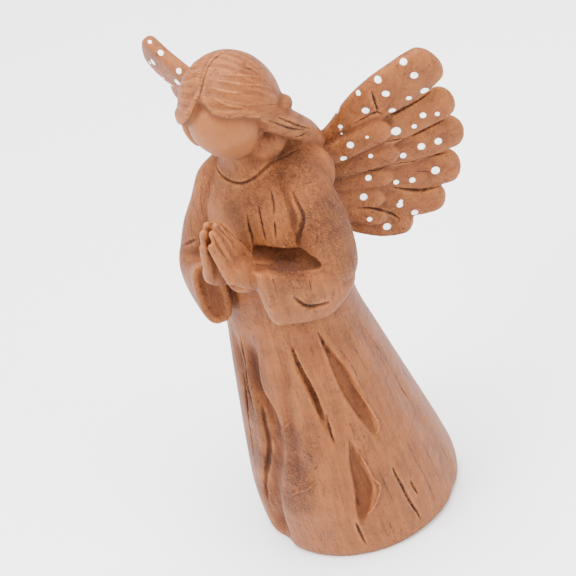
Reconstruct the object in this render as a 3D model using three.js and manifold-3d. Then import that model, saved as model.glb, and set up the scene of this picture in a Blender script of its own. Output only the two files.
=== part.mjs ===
// An angel figurine, cast in one piece to look like carved wood. A long folded gown widens to the foot,
// the hands are held together in wide sleeves, the head is bowed under parted hair, the face is left
// smooth, and two fans of feathers spread behind the shoulders.
// Millimetres, +Z up. The angel looks along -Y and its own left side is +X. The origin is on the
// underside, at the middle of the foot.

import * as THREE from "three";
import { ParametricGeometry } from "three/addons/geometries/ParametricGeometry.js";
import { mergeVertices } from "three/addons/utils/BufferGeometryUtils.js";
import Module from "manifold-3d";

const wasm = await Module();
wasm.setup();

// Driving sizes.
const height = 298.7; // underside to the crown of the head
const footWidth = 112.4; // the gown at its widest, just above the hem
const footDepth = 113;
const waistWidth = 74;
const waistDepth = 67;
const chestWidth = 67;
const chestDepth = 52;
const headWidth = 52; // over the hair
const faceWidth = 38;
const headBow = 14; // degrees that the head is bowed
const foldDepth = 5; // of the gown's deepest fold
const cuffWall = 3;
const wingSweep = 34; // degrees that the lower feathers lean back from the line of the shoulders
const wingTilt = 12; // degrees that the leading feather's top leans forwards
const wingReach = 85.4; // from the wing's root to the tip of its longest feather, along the wing
const featherThickness = 5;
const leadingThickness = 9; // the rolled upper feather

// The free forms are laid out on a figure 298.7 tall, and every place and half-width in them is a share
// of the height.
const share = height / 298.7;
const point = (x, y, z) => new THREE.Vector3(x, y, z).multiplyScalar(share);
const radians = THREE.MathUtils.degToRad;
const { clamp, lerp, smoothstep } = THREE.MathUtils;
const xAxis = new THREE.Vector3(1, 0, 0);
const zAxis = new THREE.Vector3(0, 0, 1);

// Turns a geometry into a solid: shared corners are merged and the slivers at its poles dropped.
function solid(geometry) {
  const bare = new THREE.BufferGeometry();
  bare.setAttribute("position", geometry.getAttribute("position"));
  bare.setIndex(geometry.index);
  const merged = mergeVertices(bare, 1e-3);
  const corners = merged.index.array;
  const kept = [];
  for (let i = 0; i < corners.length; i += 3) {
    const [a, b, c] = corners.slice(i, i + 3);
    if (a !== b && b !== c && c !== a) kept.push(a, b, c);
  }
  return new wasm.Manifold(
    new wasm.Mesh({
      numProp: 3,
      vertProperties: merged.getAttribute("position").array,
      triVerts: new Uint32Array(kept),
    }),
  );
}

// The same form on the angel's other side.
function mirrored(geometry) {
  const other = geometry.clone().scale(-1, 1, 1);
  const corners = other.index.array;
  for (let i = 0; i < corners.length; i += 3) {
    [corners[i + 1], corners[i + 2]] = [corners[i + 2], corners[i + 1]];
  }
  return other;
}

const pair = (geometry) => [solid(geometry), solid(mirrored(geometry))];
const joined = (solids) => solids.reduce((whole, next) => whole.add(next));

// A closed body whose rings follow a smooth path. Each station is [x, y, z, half-width along `side`,
// half-width across it]. `flat` keeps every ring level, `upright` keeps every ring's first width along
// `side`, `boxy` is the rings' superellipse power, `blunt` is the share of the length over which the far
// end is rounded off, `spacing` places the rings, and `carve(turn, centre)` pushes the skin out, or in
// where it is negative.
function loft({
  stations,
  side,
  slices,
  stacks,
  flat = false,
  upright = false,
  boxy = 2,
  blunt = 0,
  spacing = blunt ? (t) => 1 - (1 - t) ** 1.5 : (t) => t,
  carve = () => 0,
}) {
  const path = new THREE.CatmullRomCurve3(stations.map(([x, y, z]) => point(x, y, z)));
  const widths = new THREE.CatmullRomCurve3(
    stations.map(([, , , a, b]) => new THREE.Vector3(a, b, 0).multiplyScalar(share)),
  );
  const rows = stacks + 2;
  const bend = (value) => Math.sign(value) * Math.abs(value) ** (2 / boxy);
  const taper = (t) => (blunt ? Math.sqrt(1 - Math.max(0, (t - 1 + blunt) / blunt) ** 2) : 1);
  return new ParametricGeometry(
    (u, v, target) => {
      const row = Math.round(v * rows);
      const t = spacing(clamp((row - 1) / stacks, 0, 1));
      const centre = path.getPoint(t);
      target.copy(centre);
      if (row === 0 || row === rows) return;
      const along = flat ? zAxis : path.getTangent(t);
      const first = side.clone().addScaledVector(along, upright ? 0 : -side.dot(along)).normalize();
      const second = along.clone().cross(first).normalize();
      const half = widths.getPoint(t).multiplyScalar(taper(t));
      const turn = (u % 1) * 2 * Math.PI;
      const out = first
        .multiplyScalar(bend(Math.cos(turn)) * half.x)
        .addScaledVector(second, bend(Math.sin(turn)) * half.y);
      target.add(out.setLength(Math.max(out.length() + carve(turn, centre), 0.01)));
    },
    slices,
    rows,
  );
}

// An egg, bowed forwards: half-widths along x, y and z, and how much its lower half is narrowed.
function egg({ centre, halves, bow, slices, stacks, narrow = 0 }) {
  const geometry = new ParametricGeometry(
    (u, v, target) => {
      const turn = (u % 1) * 2 * Math.PI;
      const rise = (v - 0.5) * Math.PI;
      const level = Math.sin(rise);
      const waist = Math.cos(rise) * (1 - narrow * Math.max(-level, 0));
      target.set(Math.cos(turn) * waist * halves[0], Math.sin(turn) * waist * halves[1], level * halves[2]);
    },
    slices,
    stacks,
  );
  return geometry.rotateX(radians(bow)).translate(...point(...centre).toArray());
}

// The gown and the body in it, one level ring above another: [level, middle, half-width, half-depth].
const between = (foot, waist, t) => lerp(foot, waist, t) / 2 / share;
const gownRings = [
  [0, -1, footWidth / 2 / share - 2.8, footDepth / 2 / share - 2.2],
  [4, -1, footWidth / 2 / share - 0.6, footDepth / 2 / share - 0.5],
  [12, -1.3, footWidth / 2 / share, footDepth / 2 / share],
  [32, -4.3, between(footWidth, waistWidth, 0.09), between(footDepth, waistDepth, 0.08)],
  [58, -7, between(footWidth, waistWidth, 0.3), between(footDepth, waistDepth, 0.28)],
  [86, -9.5, between(footWidth, waistWidth, 0.54), between(footDepth, waistDepth, 0.52)],
  [116, -12, between(footWidth, waistWidth, 0.8), between(footDepth, waistDepth, 0.78)],
  [139, -13.5, waistWidth / 2 / share, waistDepth / 2 / share],
  [165, -13, chestWidth / 2 / share + 1, chestDepth / 2 / share + 3.5],
  [190, -11.5, chestWidth / 2 / share, chestDepth / 2 / share + 1.5],
  [205, -10.5, chestWidth / 2 / share - 0.5, chestDepth / 2 / share],
  [216, -10, chestWidth / 2 / share - 2.5, chestDepth / 2 / share - 2.5],
  [226, -9, chestWidth / 2 / share - 7, chestDepth / 2 / share - 6.5],
  [234, -8.5, chestWidth / 2 / share - 13, chestDepth / 2 / share - 10.5],
  [241, -9.5, chestWidth / 2 / share - 20, chestDepth / 2 / share - 13],
];

// Folds run down the gown, the deep ones from sleeve to hem. Each follows a way of [level, bearing] pairs
// with bearings in degrees: 0 is the front, 90 the angel's left. `wide` is in degrees either side of the
// way and `deep` is a share of foldDepth.
const folds = [
  { way: [[150, -14], [117, -20], [101, -12], [81, -11], [40, -24], [-30, -29]], wide: 12, deep: 1 },
  { way: [[152, -40], [123, -33], [100, -30], [86, -29]], wide: 8, deep: 0.4 },
  { way: [[146, 16], [112, 10], [80, 4], [52, 2]], wide: 9, deep: 0.35 },
  { way: [[60, 68], [30, 74], [-30, 78]], wide: 10, deep: 0.2 },
  { way: [[150, 86], [90, 96], [-30, 100]], wide: 11, deep: 0.4 },
  { way: [[150, 152], [80, 154], [-30, 156]], wide: 13, deep: 0.6 },
  { way: [[150, 180], [80, 183], [-30, 184]], wide: 13, deep: 0.6 },
  { way: [[150, 214], [80, 212], [-30, 210]], wide: 12, deep: 0.5 },
  { way: [[150, 250], [80, 248], [-30, 246]], wide: 13, deep: 0.6 },
  { way: [[120, 278], [60, 280], [-30, 282]], wide: 10, deep: 0.4 },
];

// A table's value at a place, taken along straight lines between its rows.
function along(table, place, column) {
  const next = clamp(table.findIndex((row) => row[0] > place), 1, table.length - 1);
  const [low, high] = [table[next - 1], table[next]];
  return lerp(low[column], high[column], clamp((place - low[0]) / (high[0] - low[0]), 0, 1));
}

function foldAt(turn, centre) {
  const level = centre.z / share;
  const bearing = 90 + THREE.MathUtils.radToDeg(turn);
  let depth = 0;
  for (const { way, wide, deep } of folds) {
    const rising = [...way].reverse();
    const off = Math.abs(((((bearing - along(rising, level, 1)) % 360) + 540) % 360) - 180) / wide;
    if (off >= 1) continue;
    const ends = smoothstep(level, rising[0][0], rising[0][0] + 20);
    const fade = 1 - smoothstep(level, way[0][0] - 25, way[0][0]);
    depth = Math.max(depth, (deep * ends * fade * (1 + Math.cos(Math.PI * off))) / 2);
  }
  return -foldDepth * depth;
}

const gown = () =>
  loft({
    stations: gownRings.map(([level, middle, across, deep]) => [0, middle, level, across, deep]),
    side: xAxis,
    slices: 48,
    stacks: 17,
    flat: true,
    carve: foldAt,
  });

// A place on the gown at a bearing and a level, `out` from its skin.
function onGown(level, bearing, out) {
  const middle = along(gownRings, level, 1);
  const across = along(gownRings, level, 2);
  const deep = along(gownRings, level, 3);
  const turn = radians(bearing);
  const reach = 1 / Math.hypot(Math.sin(turn) / across, Math.cos(turn) / deep) + out;
  return [reach * Math.sin(turn), middle - reach * Math.cos(turn), level];
}

// Leaf-shaped gouges in the gown's front: a way of [level, bearing, half-width, depth].
const gouges = [
  [[147, 50.5, 0.8, 0.6], [134, 52.5, 2, 1.4], [116, 56.5, 4, 2.4], [98, 58.5, 4.2, 2.2], [72, 60.5, 1, 0.8]],
  [[79, 43, 0.8, 0.8], [64, 41.5, 2.4, 2], [46, 41, 4.6, 3], [35, 37, 4, 2.4], [27, 33, 1.4, 1]],
  [[147, 22.5, 0.7, 0.8], [129, 25, 1.4, 1.6], [112, 29.5, 1.7, 2], [96, 31, 1.5, 1.6], [79, 33, 0.7, 0.8]],
];
const gouge = (way) =>
  loft({
    stations: way.map(([level, bearing, half, deep]) => [...onGown(level, bearing, 0.5), half, deep]),
    side: new THREE.Vector3(0.77, 0.64, 0),
    slices: 8,
    stacks: 7,
  });

// The upper arms, from the shoulder down to the elbow.
const upperArms = [
  [
    [15, -7, 233, 6, 7],
    [25, -9, 224, 11, 12],
    [31.5, -12.5, 208, 13, 14],
    [36, -17, 193, 13.5, 14.5],
    [37.5, -20, 181, 13, 13.5],
    [36, -21, 171, 9, 9],
  ],
  [
    [-15, -7, 233, 6, 7],
    [-23, -10, 224, 10, 11],
    [-28.5, -14, 208, 12, 12.5],
    [-34, -18, 193, 13.5, 13.5],
    [-37.5, -21, 180, 13.5, 13.5],
    [-37, -22, 171, 10, 10],
  ],
];
const upperArm = (stations) => loft({ stations, side: xAxis, slices: 14, stacks: 6 });

// The slope from the neck over the shoulder to the wing.
const shoulder = () =>
  loft({
    stations: [
      [2, 1, 236, 9, 9],
      [12, 2, 233, 10.5, 10],
      [21, 4, 225, 11, 12],
      [26, 6, 214, 9, 12],
      [27, 7, 203, 4, 6],
    ],
    side: xAxis,
    slices: 12,
    stacks: 5,
    blunt: 0.3,
  });

// The wide sleeves on the forearms, tall and thin. The angel's left one ends in a thin edge against the
// hand, and the right one is open.
const leftSleeve = () =>
  loft({
    stations: [
      [38, -13, 180, 8, 8],
      [36.5, -20, 177, 13.5, 12],
      [31, -28, 172.5, 15.5, 12],
      [24, -36, 173, 16.5, 11],
      [18.5, -45, 177, 18, 8],
      [15.3, -55.5, 182, 18.5, 3.2],
    ],
    side: new THREE.Vector3(0, -0.1, 1),
    slices: 16,
    stacks: 7,
    upright: true,
    boxy: 3.4,
    blunt: 0.05,
  });
const rightStations = [
  [-40, -13, 181, 9, 9],
  [-39.5, -20, 179.5, 12, 12],
  [-36.5, -28, 176.5, 13, 12],
  [-30.5, -36, 175.5, 14, 11],
  [-24.5, -43, 175.5, 16.5, 9.5],
  [-19, -49.5, 177.5, 17.5, 8],
];
const rightSleeve = () => loft({ stations: rightStations, side: zAxis, slices: 16, stacks: 6, boxy: 2.8 });

// What is cut out between the breast and the top of the left sleeve.
const recess = () =>
  loft({
    stations: [
      [7, -42, 198.2, 3.6, 10],
      [13, -39, 195.8, 4.2, 11],
      [20, -35.5, 192.8, 4.4, 11],
      [28, -32, 190.8, 4.2, 9],
      [35, -31, 189.2, 3.4, 6],
      [39, -31, 188, 1.8, 3.5],
    ],
    side: zAxis,
    slices: 8,
    stacks: 6,
    boxy: 3,
    blunt: 0.1,
  });

// What a cuff is hollowed by.
function cuffHollow(stations) {
  const [inner, edge] = stations.slice(-2);
  const thin = (half) => half - cuffWall / share;
  const [dx, dy, dz] = [0, 1, 2].map((i) => edge[i] - inner[i]);
  return loft({
    stations: [
      [...inner.slice(0, 3), thin(inner[3]) * 0.4, thin(inner[4]) * 0.4],
      [inner[0] + dx / 2, inner[1] + dy / 2, edge[2] - 2, thin(edge[3]) * 0.8, thin(edge[4]) * 0.85],
      [...edge.slice(0, 3), thin(edge[3]), thin(edge[4])],
      [edge[0] + dx, edge[1] + dy, edge[2] + dz, thin(edge[3]), thin(edge[4])],
    ],
    side: zAxis,
    slices: 12,
    stacks: 3,
    boxy: 2.5,
  });
}

// One hand of the praying pair: wrist and palm, four fingers side by side, and the thumb behind them.
const yAxis = new THREE.Vector3(0, 1, 0);
const palm = [
  [13, -45, 187, 6, 6],
  [9.5, -52, 195, 7.5, 5.2],
  [6.8, -56.5, 202, 8.6, 4.6],
  [4.4, -57, 209, 8.6, 3.4],
  [3, -57, 216, 7, 2.4],
];
const fingers = [
  [
    [6.4, -50, 200, 2.3, 2.6],
    [4.7, -50.2, 212, 2.7, 2.6],
    [3.4, -51, 220, 2.6, 2.6],
    [2.1, -53, 227.5, 2.2, 2.2],
  ],
  [
    [7, -54.6, 199, 2.4, 2.8],
    [5, -55, 212, 2.7, 2.8],
    [3.6, -55.8, 222, 2.6, 2.7],
    [2.1, -57.5, 230.5, 2.2, 2.2],
  ],
  [
    [7, -59.2, 198, 2.4, 2.8],
    [5, -59.8, 211, 2.7, 2.8],
    [3.6, -60.6, 221, 2.5, 2.6],
    [2.1, -61.8, 229, 2.1, 2.2],
  ],
  [
    [6.4, -63.4, 198, 2.2, 2.5],
    [4.6, -64, 208, 2.5, 2.6],
    [3.4, -64.6, 216, 2.4, 2.4],
    [2, -65.4, 223.5, 2, 2.1],
  ],
  [
    [7.6, -47, 197, 2.6, 3.2],
    [5.2, -46.4, 205, 2.6, 3],
    [2.4, -48.4, 214, 2.2, 2.4],
  ],
];
const handParts = [
  { stations: palm, slices: 10, stacks: 5 },
  ...fingers.map((stations) => ({ stations, slices: 7, stacks: 4, blunt: 0.16 })),
];
const hand = () => handParts.map((kind) => loft({ ...kind, side: yAxis }));

// What fills the breast between the forearms, behind the hands.
const breastWeb = () =>
  loft({
    stations: [
      [0, -26, 188, 19, 13],
      [0, -36, 187, 15, 11],
      [0, -44, 187, 11, 9],
      [0, -50, 190, 7, 7],
    ],
    side: xAxis,
    slices: 10,
    stacks: 3,
  });

const neck = () =>
  loft({
    stations: [
      [0, -9, 228, 15, 13],
      [0, -10, 238, 12.5, 12.5],
      [0, -12, 250, 11.5, 12],
      [0, -14, 258, 11, 12],
    ],
    side: xAxis,
    slices: 12,
    stacks: 3,
  });

const face = () =>
  egg({
    centre: [0, -19, 266],
    halves: [faceWidth / 2, 20 * share, 23.5 * share],
    bow: headBow,
    slices: 16,
    stacks: 10,
    narrow: 0.2,
  });

const hairCap = () =>
  egg({
    centre: [0, -13.4, 270],
    halves: [headWidth / 2, 26.6 * share, 28.9 * share],
    bow: headBow,
    slices: 20,
    stacks: 10,
  });

// Locks of hair on the angel's left: the one that falls from the ear behind the shoulder, and the mass at
// the nape. A small knot gathers the hair over each ear.
const leftLocks = [
  [
    [17, -24, 273, 3, 3.5],
    [20, -17, 267, 5.5, 6.5],
    [21.5, -8, 259, 7.5, 9],
    [21.2, 2, 249, 8.2, 9],
    [22, 10, 239.5, 7, 7],
    [24, 15, 231, 5, 5],
    [25, 17, 224, 2, 2],
  ],
  [
    [5, 1, 268, 10, 8],
    [6, 7, 256, 11.5, 8.5],
    [7, 11, 243, 11, 8],
    [5, 13, 227, 8, 4],
  ],
];
const locks = () =>
  leftLocks.map((stations) => loft({ stations, side: xAxis, slices: 8, stacks: 7, blunt: 0.15 }));
const knot = () =>
  egg({ centre: [23.4, -3.6, 265.2], halves: [4.9, 6.4, 4.9].map((half) => half * share), bow: 0, slices: 8, stacks: 5 });
// The end of the angel's right side hair, in front of the ear.
const rightLock = () =>
  loft({
    stations: [
      [-19, -24, 272, 3, 3],
      [-20, -24.5, 264, 3, 4],
      [-18.4, -23, 256, 3, 4],
      [-15.5, -19, 250, 2, 2],
    ],
    side: xAxis,
    slices: 8,
    stacks: 5,
    blunt: 0.15,
  });

// A feather stands in an upright plane through the wing's root, which leans back by `sweep` degrees: l
// runs outwards and h upwards from the root, and lift is how far the feather stands in front of that
// plane. Its spine is a list of [l, h, half-width].
const wingRoot = [12, 17, 205];
const wingShare = wingReach / 85.4 / share;
const facing = (sweep) => new THREE.Vector3(Math.sin(radians(sweep)), -Math.cos(radians(sweep)), 0);
function wingPoint(l, h, lift, sweep) {
  const face = facing(sweep);
  return [
    wingRoot[0] - l * wingShare * face.y + lift * face.x,
    wingRoot[1] + l * wingShare * face.x + lift * face.y,
    wingRoot[2] + h * wingShare,
  ];
}

function feather({ spine, lift, lessSweep = 0, slices, stacks }) {
  const half = featherThickness / 2 / share;
  const sweep = wingSweep - lessSweep;
  return loft({
    stations: spine.map(([l, h, wide]) => [...wingPoint(l, h, lift, sweep), half, wide * wingShare]),
    side: facing(sweep),
    slices,
    stacks,
    boxy: 2.4,
    blunt: 0.2,
  });
}

// The rolled leading feather, on a plane of its own which leans back less: [l, h, half-width, lift].
const leadingSpine = [
  [5.1, 6, 9, -2.4],
  [22.6, 23, 8.5, -3.5],
  [36.5, 35.5, 10.5, -2.1],
  [50.9, 44.5, 12.5, -0.4],
  [65.2, 53.5, 13.5, 0.3],
  [78, 63.5, 12.8, -0.9],
];
function leadingFeather() {
  const sweep = wingSweep - 14;
  const half = leadingThickness / 2 / share;
  return loft({
    stations: leadingSpine.map(([l, h, wide, lift]) => [...wingPoint(l, h, lift, sweep), half, wide * wingShare]),
    side: facing(sweep).setZ(-Math.tan(radians(wingTilt))),
    slices: 12,
    stacks: 7,
    boxy: 2.7,
    blunt: 0.13,
  });
}

const quills = [
  {
    spine: [[5.3, 9.4, 8], [32.5, 17.3, 9.5], [48.3, 21.4, 10.4], [62.2, 25.1, 10.2], [74.1, 28.2, 9.6], [82, 30.1, 8.5]],
    lift: 2.4,
    lessSweep: 5,
  },
  {
    spine: [[5.1, 3.3, 8], [32.4, 4.4, 9], [48.2, 4.7, 10], [62, 5.3, 10.2], [74, 6.7, 10.2], [83.4, 7.9, 9]],
    lift: 0.8,
    lessSweep: 2,
  },
  {
    spine: [[3.2, -0.6, 7], [26.5, -6.9, 9], [42.3, -11, 10], [56.1, -13.8, 10.8], [68.1, -15, 11], [78, -15, 10]],
    lift: -0.2,
  },
  {
    spine: [[3.3, -6.5, 7], [18.7, -15, 9], [32.4, -22.9, 10], [46.2, -29.4, 10.8], [58.2, -31.6, 10], [66.6, -31.5, 8]],
    lift: -1,
  },
  {
    spine: [[-0.6, -14, 8], [11.1, -24.5, 9.5], [22.8, -33.4, 11], [32.5, -39, 10.5], [40.4, -41.8, 9], [47.1, -43.2, 6.8]],
    lift: -1.8,
  },
];
const coverts = [
  {
    spine: [[7.5, 11.6, 5], [21.3, 15.8, 6.2], [32.1, 19.3, 6.6], [41, 22.2, 6.8], [47.9, 24.4, 5.5]],
    lift: 3.8,
    lessSweep: 9,
  },
  {
    spine: [[7, 3.1, 5], [18.7, 3.7, 5.6], [30.4, 4.5, 6.2], [40.3, 5, 6.4], [48.6, 4.9, 5]],
    lift: 3.6,
    lessSweep: 3,
  },
  {
    spine: [[4.9, -3.9, 4.5], [14.6, -6.4, 5], [25.4, -7.7, 5.4], [34.2, -8.9, 5.5], [42.1, -10.8, 4.5]],
    lift: 2.8,
  },
  {
    spine: [[3, -6.5, 4.5], [11.7, -11.9, 5.2], [20.5, -16.9, 6], [27.3, -20.2, 6.2], [34.7, -23.8, 4.5]],
    lift: 2,
  },
  {
    spine: [[1.1, -14.3, 4.5], [9.9, -20.7, 5.2], [17.7, -26.5, 6], [25.5, -31.3, 6], [34.3, -34.8, 4.5]],
    lift: 1.2,
  },
];

// The wing's root, which runs into the back.
const wingRootBody = () =>
  loft({
    stations: [
      [...wingPoint(-8, -4, 5, wingSweep), 8, 26],
      [...wingPoint(2, -3, 3, wingSweep), 6, 30],
      [...wingPoint(12, -3, 1, wingSweep), 4, 30],
      [...wingPoint(24, -2, 0, wingSweep - 1), 2.6, 27],
      [...wingPoint(36, 1, -0.5, wingSweep - 2), 2, 20],
      [...wingPoint(44, 4, -0.5, wingSweep - 2), 1.6, 14],
    ],
    side: facing(wingSweep - 1),
    slices: 12,
    stacks: 5,
  });

function figure() {
  const rightArm = solid(rightSleeve()).subtract(solid(cuffHollow(rightStations)));
  const gouged = gouges.reduce((left, way) => left.subtract(solid(gouge(way))), solid(gown()));
  const robed = joined([
    gouged,
    ...upperArms.map((stations) => solid(upperArm(stations))),
    ...pair(shoulder()),
    solid(leftSleeve()),
    rightArm,
    solid(breastWeb()),
  ]);
  return joined([
    robed.subtract(solid(recess())),
    ...hand().flatMap((piece) => pair(piece)),
    solid(neck()),
    solid(face()),
    solid(hairCap()),
    ...pair(knot()),
    ...locks().flatMap((piece) => pair(piece)),
    solid(rightLock()),
    ...pair(wingRootBody()),
    ...pair(leadingFeather()),
    ...quills.flatMap((kind) => pair(feather({ ...kind, slices: 8, stacks: 6 }))),
    ...coverts.flatMap((kind) => pair(feather({ ...kind, slices: 6, stacks: 4 }))),
  ]);
}

function meshOf(name, form, material) {
  const { vertProperties, triVerts } = form.getMesh();
  const geometry = new THREE.BufferGeometry();
  geometry.setAttribute("position", new THREE.BufferAttribute(new Float32Array(vertProperties), 3));
  geometry.setIndex(new THREE.BufferAttribute(new Uint32Array(triVerts), 1));
  geometry.computeVertexNormals();
  const mesh = new THREE.Mesh(geometry, material);
  mesh.name = name;
  return mesh;
}

const carvedWood = new THREE.MeshStandardMaterial({ color: 0xb9784d, roughness: 0.6, metalness: 0 });

const angel = new THREE.Group();
angel.add(meshOf("angel_figure", figure(), carvedWood));

export default angel;
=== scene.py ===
# An angel figurine cast to look like carved wood: a folded gown, praying hands in wide sleeves, a bowed
# head with parted hair and a smooth face, and two feathered wings set with small white windows.
# Forms are worked out in millimetres in the frame of the CAD part and put into metres at the end.
import math

import bpy
import numpy as np
from mathutils import Matrix, Vector


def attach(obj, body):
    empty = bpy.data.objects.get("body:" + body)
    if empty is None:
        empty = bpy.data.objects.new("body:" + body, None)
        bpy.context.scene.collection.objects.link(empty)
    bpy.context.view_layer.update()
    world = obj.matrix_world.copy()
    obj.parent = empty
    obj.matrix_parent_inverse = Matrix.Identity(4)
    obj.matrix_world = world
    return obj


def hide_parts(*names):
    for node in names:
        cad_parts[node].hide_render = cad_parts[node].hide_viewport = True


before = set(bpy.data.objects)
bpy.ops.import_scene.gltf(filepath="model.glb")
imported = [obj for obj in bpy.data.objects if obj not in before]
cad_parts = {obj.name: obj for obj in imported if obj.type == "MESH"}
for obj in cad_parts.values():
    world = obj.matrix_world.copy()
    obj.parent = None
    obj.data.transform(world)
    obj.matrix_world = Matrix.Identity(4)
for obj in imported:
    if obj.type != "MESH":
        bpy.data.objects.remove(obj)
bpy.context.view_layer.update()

xAxis = np.array([1, 0, 0.0])
yAxis = np.array([0, 1, 0.0])
zAxis = np.array([0, 0, 1.0])

view = {
    "turn": 37,  # degrees round from the front, towards the angel's left
    "rise": 35,
    "roll": -17.2,
    "distance": 1150,
    "aim": (-5.9, -4.45, 147.2),
    "lens": 135.94,
}


# Curves and noise.


def smoothStep(value, low, high):
    # 0 below low, 1 above high, and 3t^2 - 2t^3 between.
    t = np.clip((value - low) / (high - low), 0, 1)
    return t * t * (3 - 2 * t)


def unit(vectors):
    # Each vector over its own length.
    return vectors / np.maximum(np.linalg.norm(vectors, axis=-1, keepdims=True), 1e-9)


def curveThrough(points, t):
    # A centripetal Catmull-Rom curve: each span is a cubic whose end slopes are weighted by the square
    # roots of the distances between the points on either side.
    points = np.asarray(points, float)
    longer = np.vstack([2 * points[0] - points[1], points, 2 * points[-1] - points[-2]])
    place = np.clip(t, 0, 1) * (len(points) - 1)
    span = np.minimum(place.astype(int), len(points) - 2)
    w = (place - span)[:, None]
    p0, p1, p2, p3 = (longer[span + i] for i in range(4))
    d0, d1, d2 = (
        np.sqrt(np.maximum(np.linalg.norm(b - a, axis=1), 1e-6))[:, None]
        for a, b in ((p0, p1), (p1, p2), (p2, p3))
    )
    slopeIn = ((p1 - p0) / d0 - (p2 - p0) / (d0 + d1) + (p2 - p1) / d1) * d1
    slopeOut = ((p2 - p1) / d1 - (p3 - p1) / (d1 + d2) + (p3 - p2) / d2) * d1
    return (
        (2 * w**3 - 3 * w**2 + 1) * p1
        + (w**3 - 2 * w**2 + w) * slopeIn
        + (3 * w**2 - 2 * w**3) * p2
        + (w**3 - w**2) * slopeOut
    )


latticeSize = 48
lattice = np.random.default_rng(11).uniform(-1, 1, (latticeSize,) * 3)


def noiseAt(places, scale, seed=0):
    # Random values on a cubic lattice, blended with smooth steps; scale is the lattice pitch.
    p = places / np.asarray(scale, float) + seed * 7.31
    cell = np.floor(p).astype(int)
    f = p - cell
    f = f * f * (3 - 2 * f)
    total = np.zeros(len(places))
    for corner in range(8):
        bit = [(corner >> i) & 1 for i in range(3)]
        weight = np.prod([f[:, i] if bit[i] else 1 - f[:, i] for i in range(3)], axis=0)
        total += weight * lattice[tuple((cell[:, i] + bit[i]) % latticeSize for i in range(3))]
    return total


# Closed bodies.


def gridBody(rings, first, last):
    # Rings of points joined by two triangles a cell, and closed by fans to a point at either end.
    rows, slices = rings.shape[:2]
    points = np.vstack([first[None], rings.reshape(-1, 3), last[None]])
    row, column = np.meshgrid(np.arange(rows - 1), np.arange(slices), indexing="ij")
    a = 1 + row * slices + column
    b = 1 + row * slices + (column + 1) % slices
    c, d = a + slices, b + slices
    sides = np.stack([a, b, d, a, d, c], -1).reshape(-1, 3)
    edge = np.arange(slices)
    after = (edge + 1) % slices
    foot = np.column_stack([np.zeros(slices, int), 1 + after, 1 + edge])
    lastRing = 1 + (rows - 1) * slices
    top = np.column_stack([np.full(slices, len(points) - 1), lastRing + edge, lastRing + after])
    return points, np.vstack([foot, sides, top])


def loft(
    stations, side, slices=48, stacks=60, boxy=2, blunt=0, flat=False, upright=False, carve=None,
    pocket=None,
):
    # Superellipse rings carried along a smooth path. A station is x, y, z, half-width along `side` and
    # half-width across it. `upright` rings keep to `side` however the path climbs, and `flat` ones stay
    # level. `carve` gives how far each point moves out. `pocket` is a wall and a share of the length:
    # the last ring turns in and runs back as the inside of a cuff.
    stations = np.asarray(stations, float)
    steps = np.linspace(0, 1, stacks + 1)
    t = 1 - (1 - steps) ** 1.5 if blunt else steps
    shrink = np.zeros_like(t)
    if pocket:
        wall, depth = pocket
        inward = np.linspace(1, 1 - depth, stacks // 3)
        t = np.concatenate([t, inward])
        shrink = np.concatenate([shrink, np.full(len(inward), wall)])
    centre = curveThrough(stations[:, :3], t)
    half = curveThrough(stations[:, 3:5], t)
    if blunt:
        half = half * np.sqrt(1 - np.clip((t - 1 + blunt) / blunt, 0, 1) ** 2)[:, None]
    half = np.maximum(half - shrink[:, None], 0.02)
    if flat:
        ahead = np.tile(zAxis, (len(t), 1))
    else:
        ahead = unit(
            curveThrough(stations[:, :3], np.minimum(t + 1e-4, 1))
            - curveThrough(stations[:, :3], np.maximum(t - 1e-4, 0))
        )
    first = unit(np.tile(side, (len(t), 1)) if upright else side - ahead * (ahead @ side)[:, None])
    second = unit(np.cross(ahead, first))
    turn = np.arange(slices) * 2 * math.pi / slices
    c, s = np.cos(turn), np.sin(turn)
    across = np.sign(c) * np.abs(c) ** (2 / boxy)
    over = np.sign(s) * np.abs(s) ** (2 / boxy)
    out = (
        across[None, :, None] * half[:, 0, None, None] * first[:, None]
        + over[None, :, None] * half[:, 1, None, None] * second[:, None]
    )
    if carve:
        length = np.linalg.norm(out, axis=2)
        moved = np.maximum(length + carve(turn[None, :], t[:, None], centre), 0.02)
        out = out * (moved / np.maximum(length, 1e-6))[..., None]
    return gridBody(centre[:, None] + out, centre[0], centre[-1])


def egg(centre, halves, bow, narrow=0, slices=120, stacks=90):
    # An ellipsoid whose lower half is narrowed by the sine of the depth, bowed forwards.
    rise = (np.linspace(0, 1, stacks + 1)[1:-1] - 0.5) * math.pi
    turn = np.arange(slices) * 2 * math.pi / slices
    level = np.sin(rise)
    waist = np.cos(rise) * (1 - narrow * np.maximum(-level, 0))
    rings = np.stack(
        [
            waist[:, None] * np.cos(turn) * halves[0],
            waist[:, None] * np.sin(turn) * halves[1],
            np.repeat(level[:, None], slices, 1) * halves[2],
        ],
        -1,
    )
    points, corners = gridBody(rings, np.array([0, 0, -halves[2]]), np.array([0, 0, halves[2]]))
    angle = math.radians(bow)
    y = points[:, 1] * math.cos(angle) - points[:, 2] * math.sin(angle)
    z = points[:, 1] * math.sin(angle) + points[:, 2] * math.cos(angle)
    return np.column_stack([points[:, 0], y, z]) + centre, corners


def otherSide(body):
    # The body mirrored in the middle plane, with its corners turned round so that it faces outwards.
    return body[0] * [-1, 1, 1], body[1][:, ::-1]


def bothSides(body):
    return [body, otherSide(body)]


# Gown.

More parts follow.
